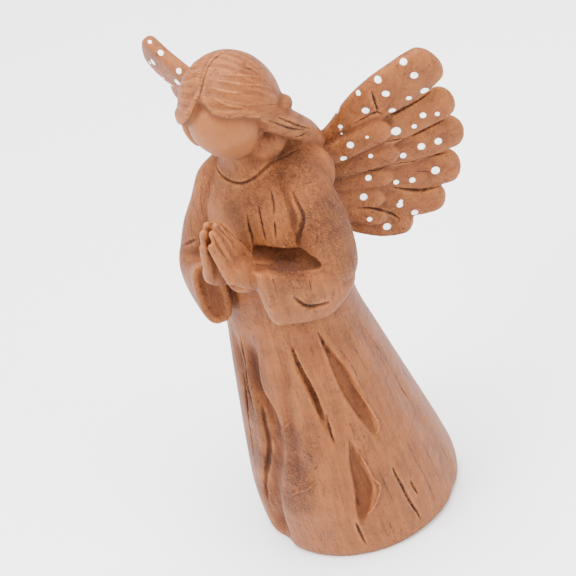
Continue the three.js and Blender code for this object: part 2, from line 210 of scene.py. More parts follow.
gownPlan = {
    # level, middle, half-width, half-depth
    "rings": [
        (0, -1, 53.4, 54.3),
        (4, -1, 55.6, 56),
        (12, -1.3, 56.2, 56.5),
        (32, -4.3, 54.5, 54.7),
        (58, -7, 50.4, 50.1),
        (86, -9.5, 45.8, 44.5),
        (116, -12, 40.8, 38.6),
        (139, -13.5, 37, 33.5),
        (165, -13, 34.5, 29.5),
        (190, -11.5, 33.5, 27.5),
        (205, -10.5, 33, 26),
        (216, -10, 31, 23.5),
        (226, -9, 26.5, 19.5),
        (234, -8.5, 20.5, 15.5),
        (241, -9.5, 13.5, 13),
    ],
    # ways of (level, bearing), half-width in degrees, depth in mm; bearing 0 is the front, 90 her left
    "folds": [
        (((150, -14), (117, -20), (101, -12), (81, -11), (40, -24), (-6, -28)), 12, 6.5),
        (((152, -40), (123, -33), (100, -30), (86, -29)), 8, 2.2),
        (((146, 16), (112, 10), (80, 4), (52, 2)), 9, 1.6),
        (((150, 86), (90, 96), (-30, 100)), 11, 0.7),
        (((150, 152), (80, 154), (-30, 156)), 13, 3),
        (((150, 180), (80, 183), (-30, 184)), 13, 3),
        (((150, 214), (80, 212), (-30, 210)), 12, 2.5),
        (((150, 250), (80, 248), (-30, 246)), 13, 3),
        (((120, 278), (60, 280), (-30, 282)), 10, 2),
    ],
    # level, bearing, half-width in mm, depth: hollows with steep walls
    "gouges": [
        (
            (149, 50, 0.3, 0.3), (134, 52.5, 1.6, 2.2), (118, 56, 3.8, 4), (98, 58.5, 4.2, 4),
            (70, 61, 0.4, 0.4),
        ),
        (
            (82, 43.5, 0.3, 0.3), (64, 41.5, 2.8, 3.4), (46, 41, 5.2, 4.8), (35, 37, 4.2, 4),
            (24, 32, 0.5, 0.4),
        ),
        (
            (149, 22, 0.3, 0.4), (129, 25, 1.4, 2), (112, 29.5, 1.8, 2.6), (96, 31, 1.5, 2),
            (74, 33.5, 0.3, 0.4),
        ),
    ],
}


def gownTable(level, column):
    # A column of the gown's rings at a level, straight between the rings.
    rings = np.array(gownPlan["rings"], float)
    return np.interp(level, rings[:, 0], rings[:, column])


def wayTable(way, level, column):
    # A way's value at each level, from a smooth curve through its rows.
    table = curveThrough(np.array(sorted(way), float), np.linspace(0, 1, 120))
    return np.interp(level, table[:, 0], table[:, column])


def turnedBy(bearing, other):
    # The difference of two bearings, between -180 and 180.
    return (bearing - other + 540) % 360 - 180


def gownCarve(turn, t, centre):
    # Each fold is half a cosine wave deep across its way; a gouge is flat-floored between steep walls.
    level = centre[:, 2][:, None]
    bearing = 90 + np.degrees(turn)
    depth = np.zeros((len(level), turn.shape[1]))
    for way, wide, deep in gownPlan["folds"]:
        off = np.abs(turnedBy(bearing, wayTable(way, level, 1))) / wide
        top = max(row[0] for row in way)
        low = min(row[0] for row in way)
        ends = smoothStep(level, low, low + 20) * (1 - smoothStep(level, top - 25, top))
        depth = np.maximum(depth, np.where(off < 1, deep * ends * (1 + np.cos(math.pi * off)) / 2, 0))
    radius = gownTable(level, 2)
    for way in gownPlan["gouges"]:
        arc = np.radians(turnedBy(bearing, wayTable(way, level, 1))) * radius
        half = wayTable(way, level, 2)
        inside = (level > min(row[0] for row in way)) & (level < max(row[0] for row in way))
        wall = smoothStep(np.abs(arc + half * 0.15), half * 0.7, half + 0.4)
        depth = depth + np.where(inside, wayTable(way, level, 3) * (1 - wall), 0)
    return -depth


def gownBody():
    # Level rings from the hem to the neck, carved with the folds and gouges.
    stations = [(0, middle, level, wide, deep) for level, middle, wide, deep in gownPlan["rings"]]
    return loft(stations, xAxis, slices=600, stacks=340, flat=True, carve=gownCarve)


# Arms and hands.

armPlan = {
    "leftUpper": [
        (15, -7, 233, 6, 7),
        (25, -9, 224, 11, 12),
        (31.5, -12.5, 208, 13, 14),
        (36, -17, 193, 13.5, 14.5),
        (37.5, -20, 181, 13, 13.5),
        (36, -21, 171, 9, 9),
    ],
    "rightUpper": [
        (-15, -7, 233, 6, 7),
        (-23, -10, 224, 10, 11),
        (-28.5, -14, 208, 12, 12.5),
        (-34, -18, 193, 13.5, 13.5),
        (-37.5, -21, 180, 13.5, 13.5),
        (-37, -22, 171, 10, 10),
    ],
    "leftSleeve": [
        (38, -13, 180, 8, 8),
        (36.5, -20, 177, 13.5, 12),
        (31, -28, 172.5, 15.5, 12),
        (24, -36, 173, 16.5, 11),
        (18.5, -45, 177, 18, 8),
        (15.3, -55.5, 182, 18.5, 3.2),
    ],
    "rightSleeve": [
        (-40, -13, 181, 9, 9),
        (-39.5, -20, 179.5, 12, 12),
        (-36.5, -28, 176.5, 13, 12),
        (-30.5, -36, 175.5, 14, 11),
        (-24.5, -43, 175.5, 16.5, 9.5),
        (-19, -49.5, 177.5, 17.5, 8),
    ],
    # what is cut out between the breast and the top of the left sleeve: half-height, half-depth
    "recess": [
        (7, -42, 198.6, 3.6, 7.2),
        (13, -39, 196.2, 4.2, 7.9),
        (20, -35.5, 193.2, 4.4, 7.9),
        (28, -32, 191.2, 4.2, 6.5),
        (35, -31, 189.6, 3.4, 4.3),
        (39, -31, 188.4, 1.8, 2.5),
    ],
    "cuffLean": np.array([0, -0.1, 1]),  # the left cuff's top reaches further than its hem
    "cuffWall": 3.2,
    "cuffDepth": 0.035,
    "web": [(0, -26, 188, 19, 13), (0, -36, 187, 15, 11), (0, -44, 187, 11, 9), (0, -50, 190, 7, 7)],
    # the slope from the neck over the shoulder to the wing
    "shoulder": [
        (2, 1, 236, 9, 9),
        (12, 2, 233, 10.5, 10),
        (21, 4, 225, 11, 12),
        (26, 6, 214, 9, 12),
        (27, 7, 203, 4, 6),
    ],
}
handPlan = {
    "palm": [
        (13, -45, 187, 6, 6),
        (9.5, -52, 195, 7.5, 5.2),
        (6.8, -56.5, 202, 8.6, 4.6),
        (4.4, -57, 209, 8.6, 3.2),
        (3, -57, 216, 7, 2),
    ],
    "fingers": [
        (
            (6.4, -50, 200, 2.3, 2.6), (4.7, -50.2, 212, 2.7, 2.6), (3.4, -51, 220, 2.6, 2.6),
            (2.1, -53, 227.5, 2.2, 2.2),
        ),
        (
            (7, -54.6, 199, 2.4, 2.8), (5, -55, 212, 2.7, 2.8), (3.6, -55.8, 222, 2.6, 2.7),
            (2.1, -57.5, 230.5, 2.2, 2.2),
        ),
        (
            (7, -59.2, 198, 2.4, 2.8), (5, -59.8, 211, 2.7, 2.8), (3.6, -60.6, 221, 2.5, 2.6),
            (2.1, -61.8, 229, 2.1, 2.2),
        ),
        (
            (6.4, -63.4, 198, 2.2, 2.5), (4.6, -64, 208, 2.5, 2.6), (3.4, -64.6, 216, 2.4, 2.4),
            (2, -65.4, 223.5, 2, 2.1),
        ),
        (
            (7.6, -47, 197, 2.6, 3.2), (5.2, -46.4, 205, 2.6, 3), (2.4, -48.4, 214, 2.2, 2.4),
        ),
    ],
    "blunt": 0.16,
}


def armBodies():
    # Oval rings along the shoulders and arms, and boxy ones along the two sleeves.
    cuff = (armPlan["cuffWall"], armPlan["cuffDepth"])
    bodies = bothSides(loft(armPlan["shoulder"], xAxis, 60, 50, blunt=0.3))
    bodies += [loft(armPlan[name], xAxis, 90, 70) for name in ("leftUpper", "rightUpper")]
    left = loft(armPlan["leftSleeve"], armPlan["cuffLean"], 140, 140, boxy=3.4, blunt=0.05, upright=True)
    bodies.append(left)
    bodies.append(loft(armPlan["rightSleeve"], zAxis, 120, 120, boxy=2.8, pocket=cuff))
    bodies.append(loft(armPlan["web"], xAxis, 60, 30))
    return bodies


def handBodies():
    # Oval rings along the left palm and its five fingers, and the same mirrored.
    bodies = bothSides(loft(handPlan["palm"], yAxis, 60, 50))
    for finger in handPlan["fingers"]:
        bodies += bothSides(loft(finger, yAxis, 32, 40, blunt=handPlan["blunt"]))
    return bodies


# Head and hair.

headPlan = {
    "neck": [
        (0, -9, 228, 15, 13),
        (0, -10, 238, 12.5, 12.5),
        (0, -12, 250, 11.5, 12),
        (0, -14, 258, 11, 12),
    ],
    "neckSide": ((7, -8.5, 246), (14, 11, 10)),  # the fullness under the hair at her left
    "bow": 14,
    "face": ((0, -19, 266), (19, 20, 23.5)),
    "hair": ((0, -13.4, 270), (25.6, 26.6, 28.9)),
    # the hair's lower edge: bearing from the front, height over the middle of the head
    "hairline": [
        (-180, -16),
        (-118, -14),
        (-84, -4),
        (-60, 0),
        (-45, 0.5),
        (-30, 3),
        (-14, 9.5),
        (-3, 17),
        (6, 16),
        (15, 11.5),
        (30, 8.2),
        (48, 6),
        (60, 2.5),
        (72, -5),
        (90, -13),
        (119, -17),
        (180, -16),
    ],
    "underHair": 0.3,  # share of its size that the hair's body loses below its edge
    "part": [(-5, -3.4), (-23, -2.4), (-34, -0.2)],  # across at places along y
    "knot": ((23.4, -3.6, 265.2), 4.9),
    "locks": [
        [
            (15, -19, 271, 2, 2.5),
            (20, -15.5, 266, 5.5, 6.5),
            (21.5, -8, 259, 7.5, 8),
            (21.2, 2, 248.5, 8.2, 7.6),
            (22, 10, 239.5, 7, 7),
            (24, 15, 231, 5, 5),
            (25, 17, 224, 2, 2),
        ],
        [(5, 1, 268, 10, 8), (6, 7, 256, 11.5, 8.5), (7, 11, 243, 11, 8), (5, 13, 227, 8, 4)],
    ],
    "farLock": [
        (-19, -24, 272, 3, 3),
        (-20, -24.5, 264, 3, 4),
        (-18.4, -23, 256, 3, 4),
        (-15.5, -19, 250, 2, 2),
    ],
    "strands": (7, 0.9),  # grooves round a lock and their depth
    "combed": (23, 1.2),  # grooves from the part to the knot in half a turn, and their depth
}


def strandCarve(turn, t, centre):
    # Rounded ridges along a lock, which twist slowly as they run.
    count, deep = headPlan["strands"]
    wave = np.abs(np.sin((turn * count + 4 * t) / 2 + 0.6 * np.sin(3 * t)))
    return -deep * (1 - wave) ** 1.5


def aboveHairline(places):
    # A place's height over the hair's lower edge, and its bearing round the head.
    away = places - headPlan["hair"][0]
    bearing = np.degrees(np.arctan2(away[:, 0], -away[:, 1]))
    edge = np.array(headPlan["hairline"])
    return away[:, 2] - np.interp(bearing, edge[:, 0], edge[:, 1]), bearing


def hairBody():
    # An ellipsoid combed with ridges that fan from each knot, parted along a line, and drawn in under
    # the hairline so that the face stands clear of the hair's edge.
    middle, halves = headPlan["hair"]
    points, corners = egg((0, 0, 0), halves, headPlan["bow"], slices=300, stacks=220)
    place = points + middle
    above, bearing = aboveHairline(place)
    part = np.array(headPlan["part"])
    off = place[:, 0] - np.interp(-place[:, 1], -part[:, 0], part[:, 1])
    knot = np.array(headPlan["knot"][0])
    away = place[:, 1:] - knot[1:]
    fan = np.arctan2(away[:, 1], -away[:, 0])
    count, deep = headPlan["combed"]
    bend = fan + 0.05 * noiseAt(place, 14, 3) + 0.12 * np.sign(off)
    wave = np.abs(np.sin(bend * count)) * (0.75 + 0.25 * noiseAt(place, 9, 5))
    comb = deep * np.clip(1 - wave, 0, 1) ** 2 * smoothStep(np.linalg.norm(away, axis=1), 5, 14)
    comb = comb * smoothStep(np.abs(off), 1, 4) * smoothStep(above, 0, 3)
    front = smoothStep(place[:, 2], 268, 276)
    groove = 1.3 * np.exp(-((off / 1.1) ** 2)) * front * smoothStep(-place[:, 1], 0, 12)
    fuller = np.where(off < 0, 2.2, 1.1)
    swell = fuller * np.exp(-(((above - 2.5) / 3) ** 2)) * smoothStep(150 - np.abs(bearing), 0, 40)
    length = np.linalg.norm(points, axis=1)
    scale = (length - comb - groove + swell) / length
    scale = scale * (1 - headPlan["underHair"] * (1 - smoothStep(above, -2.2, 0)))
    return points * scale[:, None] + middle, corners


def headBodies():
    # The neck and locks are rings along a path, and the face, hair and knots ellipsoids.
    spot, size = headPlan["knot"]
    bodies = [
        loft(headPlan["neck"], xAxis, 60, 30),
        egg(*headPlan["face"], headPlan["bow"], narrow=0.2),
        hairBody(),
        egg(*headPlan["neckSide"], 0, slices=60, stacks=40),
    ]
    bodies += bothSides(egg(spot, (size, size * 1.3, size), 0, slices=40, stacks=30))
    for stations in headPlan["locks"]:
        bodies += bothSides(loft(stations, xAxis, 110, 110, blunt=0.15, carve=strandCarve))
    bodies.append(loft(headPlan["farLock"], xAxis, 60, 60, blunt=0.15))
    return bodies


# Wings.

wingPlan = {
    # the rolled leading feather: x, y, z, half-width
    "leading": [
        (16, 21, 211, 9),
        (32, 28, 228, 8.5),
        (45.6, 31.5, 240.5, 10.5),
        (59.7, 34.8, 249.5, 12.5),
        (73.4, 39, 257.3, 12.8),
        (86, 45, 264.8, 10.6),
    ],
    "leadingThick": 9,
    "leadingTilt": 12,  # degrees that its top leans forward
    "leadingSweep": 20,
    "root": (12, 17, 205),
    "rootSweep": 33,
    # spine of (outwards, upwards, half-width), lift off the wing's plane, sweep, thickness; the spines
    # began as points in the photograph that a scratch script cast, and were moved by hand since
    "quills": [
        (
            (
                (5.3, 9.4, 8), (32.5, 17.3, 9.5), (48.3, 21.4, 10.4), (62.2, 25.1, 10.2),
                (74.1, 28.2, 9.6), (82, 30.1, 8.5),
            ),
            2.4, 29, 5,
        ),
        (
            (
                (5.1, 3.3, 8), (32.4, 4.4, 9), (48.2, 4.7, 10), (62, 5.3, 10.2), (74, 6.7, 10.2),
                (83.4, 7.9, 9),
            ),
            0.8, 32, 5,
        ),
        (
            (
                (3.2, -0.6, 7), (26.5, -6.9, 9), (42.3, -11, 10), (56.1, -13.8, 10.8), (68.1, -15, 11),
                (78, -15, 10),
            ),
            -0.2, 34, 5,
        ),
        (
            (
                (3.3, -6.5, 7), (18.7, -15, 9), (32.4, -22.9, 10), (46.2, -29.4, 10.8),
                (58.2, -31.6, 10), (66.6, -31.5, 8),
            ),
            -1, 34, 5,
        ),
        (
            (
                (-0.6, -14, 8), (11.1, -24.5, 9.5), (22.8, -33.4, 11), (32.5, -39, 10.5),
                (40.4, -41.8, 9), (47.1, -43.2, 6.8),
            ),
            -1.8, 34, 5,
        ),
    ],
    "coverts": [
        (
            (
                (7.5, 11.6, 5), (21.3, 15.8, 6.2), (32.1, 19.3, 6.6), (41, 22.2, 6.8),
                (47.9, 24.4, 5.5),
            ),
            3.8, 25, 5,
        ),
        (
            ((7, 3.1, 5), (18.7, 3.7, 5.6), (30.4, 4.5, 6.2), (40.3, 5, 6.4), (48.6, 4.9, 5)),
            3.6, 31, 5,
        ),
        (
            (
                (4.9, -3.9, 4.5), (14.6, -6.4, 5), (25.4, -7.7, 5.4), (34.2, -8.9, 5.5),
                (42.1, -10.8, 4.5),
            ),
            2.8, 34, 5,
        ),
        (
            (
                (3, -6.5, 4.5), (11.7, -11.9, 5.2), (20.5, -16.9, 6), (27.3, -20.2, 6.2),
                (34.7, -23.8, 4.5),
            ),
            2, 34, 5,
        ),
        (
            (
                (1.1, -14.3, 4.5), (9.9, -20.7, 5.2), (17.7, -26.5, 6), (25.5, -31.3, 6),
                (34.3, -34.8, 4.5),
            ),
            1.2, 34, 5,
        ),
    ],
    # outwards, upwards, lift, sweep, half-thickness, half-height
    "rootBody": [
        (-8, -4, 5, 34, 8, 26),
        (2, -3, 3, 34, 6, 30),
        (12, -3, 1, 34, 4, 30),
        (24, -2, 0, 33, 2.6, 27),
        (36, 1, -0.5, 32, 2, 20),
        (44, 4, -0.5, 32, 1.6, 14),
    ],
}


def wingFacing(sweep):
    # The way that a wing's front faces: straight ahead, turned outwards by the sweep.
    lean = math.radians(sweep)
    return np.array([math.sin(lean), -math.cos(lean), 0])


def wingPlace(outwards, upwards, lift, sweep):
    # Outwards and upwards from the wing's root in an upright plane, and lift in front of that plane.
    face = wingFacing(sweep)
    x, y, z = wingPlan["root"]
    return (x - outwards * face[1] + lift * face[0], y + outwards * face[0] + lift * face[1], z + upwards)


def featherBody(spine, lift, sweep, thick):
    # Boxy rings along a spine that is laid out in the wing's own plane, with a blunt tip.
    stations = [(*wingPlace(l, h, lift, sweep), thick / 2, wide) for l, h, wide in spine]
    return loft(stations, wingFacing(sweep), slices=100, stacks=110, boxy=2.4, blunt=0.15)


def wingBodies():
    # The wing's root, its rolled leading feather, and the quills and coverts, for both wings.
    root = [(*wingPlace(*row[:4]), *row[4:]) for row in wingPlan["rootBody"]]
    bodies = bothSides(loft(root, wingFacing(wingPlan["rootSweep"]), 80, 60))
    thick = wingPlan["leadingThick"] / 2
    leading = [(x, y, z, thick, wide) for x, y, z, wide in wingPlan["leading"]]
    side = wingFacing(wingPlan["leadingSweep"]) - math.tan(math.radians(wingPlan["leadingTilt"])) * zAxis
    bodies += bothSides(loft(leading, side, slices=110, stacks=120, boxy=2.9, blunt=0.075))
    for feather in wingPlan["quills"] + wingPlan["coverts"]:
        bodies += bothSides(featherBody(*feather))
    return bodies


# Carving: grooves, cracks, rough places and the light windows in the wings.

carvingPlan = {
    # The courses and windows were picked by hand in the photograph, and a scratch script cast the points
    # onto the figure: these are the places, in millimetres, that it gave.
    # half-width, depth, darkness (painted shade along the groove) and course of the grooves that are cut
    # into the mesh
    "grooves": [
        (1.1, 0.9, 0.3, [
            (3.5, -57.6, 229.5), (5.1, -57.2, 226.3), (6.1, -55.9, 222.3), (6.6, -53.7, 216.4),
            (7.2, -52.7, 210.7),
        ]),
        (1.1, 0.9, 0.3, [
            (2.8, -53.5, 227.3), (4.8, -53.3, 224.6), (5.8, -51.3, 220.1), (6.4, -48.9, 214.6),
            (6.8, -47.2, 209.3),
        ]),
        (1.1, 0.9, 0.3, [(3.2, -62.3, 228.1), (4.2, -63, 224.4), (5.3, -63, 218.5), (6.6, -62.1, 212.9)]),
        (1.2, 0.8, 0.3, [(-26.5, -46.5, 182), (-25.5, -45.5, 174), (-24, -44, 168)]),
        (4.6, 0.4, 0.1, [
            (30.5, -32.8, 121), (33.2, -32.4, 110), (36.6, -31.4, 98), (39.6, -31, 86), (41.2, -31.2, 76),
        ]),
        (4.8, 0.4, 0.1, [
            (32.4, -42.4, 75), (33.4, -42.4, 64), (34.6, -43, 52), (34.8, -43.6, 42), (31.4, -47, 31),
        ]),
        (1.4, 1.2, 0.12, [
            (-18.1, -15.8, 234.4), (-14.8, -19.7, 233.4), (-9.7, -23.1, 232.2), (-4.6, -25, 231.3),
            (0, -25.4, 231.1), (4.5, -24.6, 232), (9.1, -22.4, 233.9), (12.7, -19.2, 236.2),
            (15, -15.7, 237.4), (17, -12.4, 237.2), (19.6, -8.5, 237.1), (22.1, -4.4, 236.9),
            (24.4, -1.1, 236.6),
        ]),
        (1, 0.8, 0.2, [
            (10.3, -29.1, 222), (11.2, -31.2, 217.4), (11.8, -33.4, 210.4), (12.4, -34.7, 204.2),
        ]),
        (1, 0.7, 0.15, [(16.4, -23.8, 226.7), (17.7, -26.4, 221.3), (17.9, -29.2, 215.9)]),
        (1, 0.7, 0.15, [(17.8, -30.4, 212.5), (17.4, -32.8, 203.9)]),
        (1.2, 1.2, 0.25, [(4.4, -32.5, 217.7), (4.6, -34.5, 211.7), (5.6, -36, 205.4), (5, -36.1, 200.3)]),
        (2.2, 1.8, 0.15, [
            (27.1, -21.1, 225.4), (28.6, -23, 220.4), (31.2, -24.7, 215.1), (31.3, -26.2, 210.7),
            (28.1, -27.2, 203.6), (26.2, -27.9, 197.6), (24.3, -23.5, 191.3),
        ]),
        (2.6, 0.7, 0, [
            (22.3, -22.6, 222), (24.5, -24, 217.1), (25.5, -25.5, 210.9), (24.9, -27.6, 204.8),
        ]),
        (1.8, 1.4, 0.3, [
            (27.8, -47, 179), (29, -45.8, 175.3), (31.2, -43.8, 171), (34, -41.2, 169),
            (37.5, -38.1, 168.3), (40.1, -35.4, 168),
        ]),
        (1.4, 1.2, 0.24, [(-48.6, -26.8, 186.6), (-37.4, -31.2, 194.7), (-33.3, -30.9, 196.6)]),
        (1.2, 1, 0.2, [(55.4, 27.9, 254.2), (55.2, 28.6, 247.6), (54.5, 30.1, 240.4)]),
        (2.1, 2, 0.35, [
            (14.1, -43.4, 141.8), (15.4, -43.7, 133), (17.1, -43.8, 124), (18.6, -43.9, 116),
            (19.9, -44, 109.2), (20.8, -45.2, 100.8), (21.9, -45.8, 94.3),
        ]),
        (1.3, 1.4, 0.4, [
            (26.9, -34.9, 146.4), (27.9, -34.5, 139.3), (28.9, -33.7, 131.3), (29.8, -33.2, 123.9),
        ]),
        (1.3, 1.2, 0.24, [(24.4, -45.1, 98.9), (23.9, -45.8, 89.8), (25.1, -47.1, 80.2)]),
        (1.6, 1.6, 0.64, [(43.4, -2.9, 87), (44.3, -1.8, 81.3), (45.4, -0.3, 73.8)]),
        (1.3, 1.2, 0.3, [
            (45.3, -30.7, 51.6), (46, -30.7, 46.1), (47.2, -30.2, 39), (48.5, -29.5, 28.3),
            (49.2, -28.7, 22.6), (50, -27.3, 16.3), (50.4, -26, 9.3),
        ]),
        (1.4, 1.2, 0.3, [
            (26.7, -51.9, 27.2), (26.9, -51.6, 22.6), (27.2, -51.1, 16.1), (27.6, -50.2, 8.9),
        ]),
        (1.2, 1, 0.32, [(49.7, -24.8, 37.6), (50.3, -24.5, 33), (51.2, -23.5, 26.5)]),
        (2.4, 1.8, 0.3, [
            (-12.6, -47.9, 101.4), (-12.8, -49.8, 88.9), (-13.9, -50.4, 74.9), (-19.7, -50.4, 59.3),
            (-26.9, -49.6, 42.3), (-29, -48.7, 29.8),
        ]),
        (1.4, 1.1, 0.16, [
            (-16, -42.7, 144.9), (-18, -43.6, 128.3), (-21.7, -43.8, 107.1), (-18, -49.5, 92.7),
        ]),
        (1.4, 1.1, 0.16, [
            (-22.4, -42.2, 118.1), (-23.9, -44, 103.4), (-27.3, -46.1, 79.6), (-29.5, -47.1, 61.9),
        ]),
        (1.2, 1, 0.24, [
            (40.9, 25.9, 234.2), (47, 27.9, 237), (54, 30.1, 239.6), (57.4, 36.9, 234), (64, 40.7, 235.7),
            (71.2, 44.9, 238.5), (76.4, 48.3, 241.1),
        ]),
        (1.2, 1, 0.24, [
            (52.1, 34.1, 218.7), (58.1, 38.1, 217.9), (62.6, 45.2, 216.4), (69.9, 50, 218.2),
            (76.8, 54.7, 220.1),
        ]),
        (1.4, 1.4, 0.4, [
            (49.2, 37.5, 201.4), (53.6, 40.5, 200.8), (58, 44.7, 199.4), (62.5, 46.7, 200.4),
            (66.5, 51.6, 198.9), (72.4, 56.3, 198.3),
        ]),
        (1.4, 1.4, 0.4, [
            (46.2, 38, 187), (49.5, 40.8, 184.1), (54.1, 44, 181.3), (58.4, 46.8, 179.6),
            (62.7, 49.9, 179), (65.1, 52.3, 178.7),
        ]),
        (1.3, 1.2, 0.32, [
            (30, 24.9, 181.5), (37.2, 30.2, 177.9), (41.9, 35.9, 171.3), (45.3, 38.7, 165.7),
        ]),
        (1.2, 0.8, 0.16, [
            (20.1, -21, 262.4), (22.9, -16, 255.5), (24.9, -7.5, 247.4), (27.3, -2.3, 245.2),
            (29, 4.3, 244.4),
        ]),
        (1.2, 0.8, 0.16, [(25.1, -21, 268), (26.8, -14.9, 261), (28.1, -8, 254), (29, 1.2, 247.1)]),
        (1.2, 0.8, 0.16, [
            (26.4, -14.8, 265.7), (28.5, -10, 260.1), (29.2, -3.8, 253.3), (29.2, 5.3, 245.2),
        ]),
        (1.2, 0.7, 0.08, [
            (2.5, 0.5, 293.6), (2.1, -8.2, 297.4), (0.6, -15.4, 298.5), (-0.1, -20.8, 297.7),
            (-0.1, -25.6, 295.7), (0, -29.9, 292.8), (0.1, -34.3, 290), (-0.8, -35.8, 287.4),
        ]),
    ],
    # half-width, height and course of the worn ridges beside them
    "ridges": [
        (0.9, 0.7, [
            (30.7, -32.1, 121.9), (34.4, -29.6, 109.8), (38.3, -28.8, 97.9), (41, -28.5, 88.3),
            (42.5, -28.4, 78.6), (41, -32.2, 73.2),
        ]),
        (0.9, 0.7, [
            (33.7, -41.7, 71.8), (36.2, -41.2, 62.1), (38.3, -40.6, 50.8), (40.2, -39.4, 46.1),
            (39.2, -41.4, 40.3), (35.1, -45.8, 32.2), (29.2, -49.2, 27.8),
        ]),
        (1, 0.7, [(-5, -57.9, 46.7), (0.2, -57.8, 49.9), (6.8, -57.1, 52.7), (11.7, -55.8, 57.5)]),
        (1.1, 0.8, [(2.8, -51.6, 97.3), (-8.4, -49.4, 76.4), (-14.2, -49.8, 59.5), (-10.6, -56.4, 48.5)]),
        (1, 0.6, [(-20, -51.3, 69.5), (-22.4, -50.8, 59.2), (-26.2, -49.8, 46.4), (-28.7, -49.1, 34.8)]),
        (0.9, 0.45, [
            (4.7, -27.4, 294.3), (10.7, -25.8, 292.7), (16.6, -22.8, 289.6), (22.5, -13.9, 283.2),
            (24, -6.2, 275),
        ]),
        (0.9, 0.5, [(5, -30.3, 291.9), (10.3, -29.7, 290.1), (15.2, -27.5, 287.8), (18.5, -24.1, 286)]),
        (0.9, 0.5, [(7.1, -33.3, 288), (10.9, -33.3, 285.6), (15, -32, 283), (19.6, -28.5, 280)]),
        (0.9, 0.45, [(6.5, -23.8, 295.4), (12.5, -21.3, 293.6), (18.4, -15.5, 289.5), (22, -5.5, 281.1)]),
        (1, 0.7, [(-16, -53.8, 62), (-13, -54.5, 55), (-9, -55.8, 49), (-6, -56.8, 42), (-8, -57, 33)]),
        (0.9, 0.6, [(-8, -56.5, 58), (-2, -56.8, 54), (5, -56.6, 56), (9, -56, 62)]),
        (1, 0.6, [(-12, -52.4, 76), (-6, -52.6, 84), (1, -52.2, 92), (6, -51.2, 96)]),
    ],
    # half-width, darkness and course of the fine cracks
    "cracks": [
        (0.24, 0.6, [
            (-18.1, -15.8, 234.4), (-14.8, -19.7, 233.4), (-9.7, -23.1, 232.2), (-4.6, -25, 231.3),
            (0, -25.4, 231.1), (4.5, -24.6, 232), (9.1, -22.4, 233.9),
        ]),
        (0.26, 0.9, [(10.3, -29.1, 222), (11.2, -31.2, 217.4), (11.8, -33.4, 210.4), (12.4, -34.7, 204.2)]),
        (0.28, 0.7, [(16.4, -23.8, 226.7), (17.7, -26.4, 221.3), (17.9, -29.2, 215.9)]),
        (0.3, 0.85, [(17.8, -30.4, 212.5), (17.4, -32.8, 203.9)]),
        (0.18, 0.7, [(4.4, -32.5, 217.7), (4.6, -34.5, 211.7), (5.6, -36, 205.4), (5, -36.1, 200.3)]),
        (0.28, 0.85, [(21.6, -21.1, 225.2), (22.5, -22.3, 222.4)]),
        (0.18, 0.5, [
            (27.1, -21.1, 225.4), (28.6, -23, 220.4), (31.2, -24.7, 215.1), (31.3, -26.2, 210.7),
            (28.1, -27.2, 203.6), (26.2, -27.9, 197.6), (24.3, -23.5, 191.3),
        ]),
        (0.28, 0.7, [(37.3, -25.2, 210.5), (38.6, -27.7, 204.4), (39.1, -29.4, 200.1)]),
        (0.26, 0.6, [(39.4, -14, 221), (42.4, -14.6, 214.9), (44.7, -15.4, 209.5)]),
        (0.18, 0.7, [
            (27.8, -47, 179), (29, -45.8, 175.3), (31.2, -43.8, 171), (34, -41.2, 169),
            (37.5, -38.1, 168.3), (40.1, -35.4, 168),
        ]),
        (0.28, 0.8, [(21.9, -51.6, 193.9), (22.4, -52.2, 188.2), (22, -51.9, 178.3)]),
        (0.24, 0.7, [(18.6, -55.2, 181.8), (18.2, -54.7, 176.2)]),
        (0.3, 0.8, [(23.8, -49.6, 173.4), (23, -49, 166.4)]),
        (0.28, 0.85, [(34.4, -38.8, 185.4), (35, -41, 179.6)]),
        (0.22, 0.8, [(37.9, -38.4, 174.6), (37.6, -38.2, 169.9)]),
        (0.38, 0.9, [(40.5, -33.8, 163.9), (35.2, -18.4, 151.9)]),
        (0.26, 0.6, [(-34.5, -20.9, 216.9), (-32.1, -24.5, 213.4), (-30.1, -27.7, 206.4)]),
        (0.26, 0.5, [(-35.9, -24.8, 209.5), (-35.5, -27.5, 205.1), (-35.2, -30.4, 198.3)]),
        (0.28, 0.7, [(-21.4, -20.9, 226.2), (-21.7, -24.2, 220.5), (-23.2, -25.6, 215.7)]),
        (0.3, 0.8, [(-26, -20.2, 227.2), (-27.6, -24, 217.3), (-27.5, -26.6, 209)]),
        (0.32, 0.9, [(55.4, 27.9, 254.2), (55.2, 28.6, 247.6), (54.5, 30.1, 240.4)]),
        (0.28, 0.8, [(34, 23.4, 206.2), (42.1, 32.2, 201.4), (48.2, 36.7, 201.9)]),
        (0.3, 0.8, [(53.6, 42.3, 194.7), (58.5, 45.6, 192.6), (64.1, 49.4, 190.5)]),
        (0.22, 0.7, [
            (49.2, 37.5, 201.4), (53.6, 40.5, 200.8), (58, 44.7, 199.4), (62.5, 46.7, 200.4),
            (66.5, 51.6, 198.9), (72.4, 56.3, 198.3),
        ]),
        (0.22, 0.7, [
            (46.2, 38, 187), (49.5, 40.8, 184.1), (54.1, 44, 181.3), (58.4, 46.8, 179.6),
            (62.7, 49.9, 179), (65.1, 52.3, 178.7),
        ]),
        (0.32, 0.85, [(30, 24.9, 181.5), (37.2, 30.2, 177.9), (41.9, 35.9, 171.3), (45.3, 38.7, 165.7)]),
        (0.28, 0.7, [
            (40.9, 25.9, 234.2), (47, 27.9, 237), (54, 30.1, 239.6), (57.4, 36.9, 234), (64, 40.7, 235.7),
            (71.2, 44.9, 238.5), (76.4, 48.3, 241.1),
        ]),
        (0.28, 0.7, [
            (52.1, 34.1, 218.7), (58.1, 38.1, 217.9), (62.6, 45.2, 216.4), (69.9, 50, 218.2),
            (76.8, 54.7, 220.1),
        ]),
        (0.16, 0.8, [
            (14.1, -43.4, 141.8), (15.4, -43.7, 133), (17.1, -43.8, 124), (18.6, -43.9, 116),
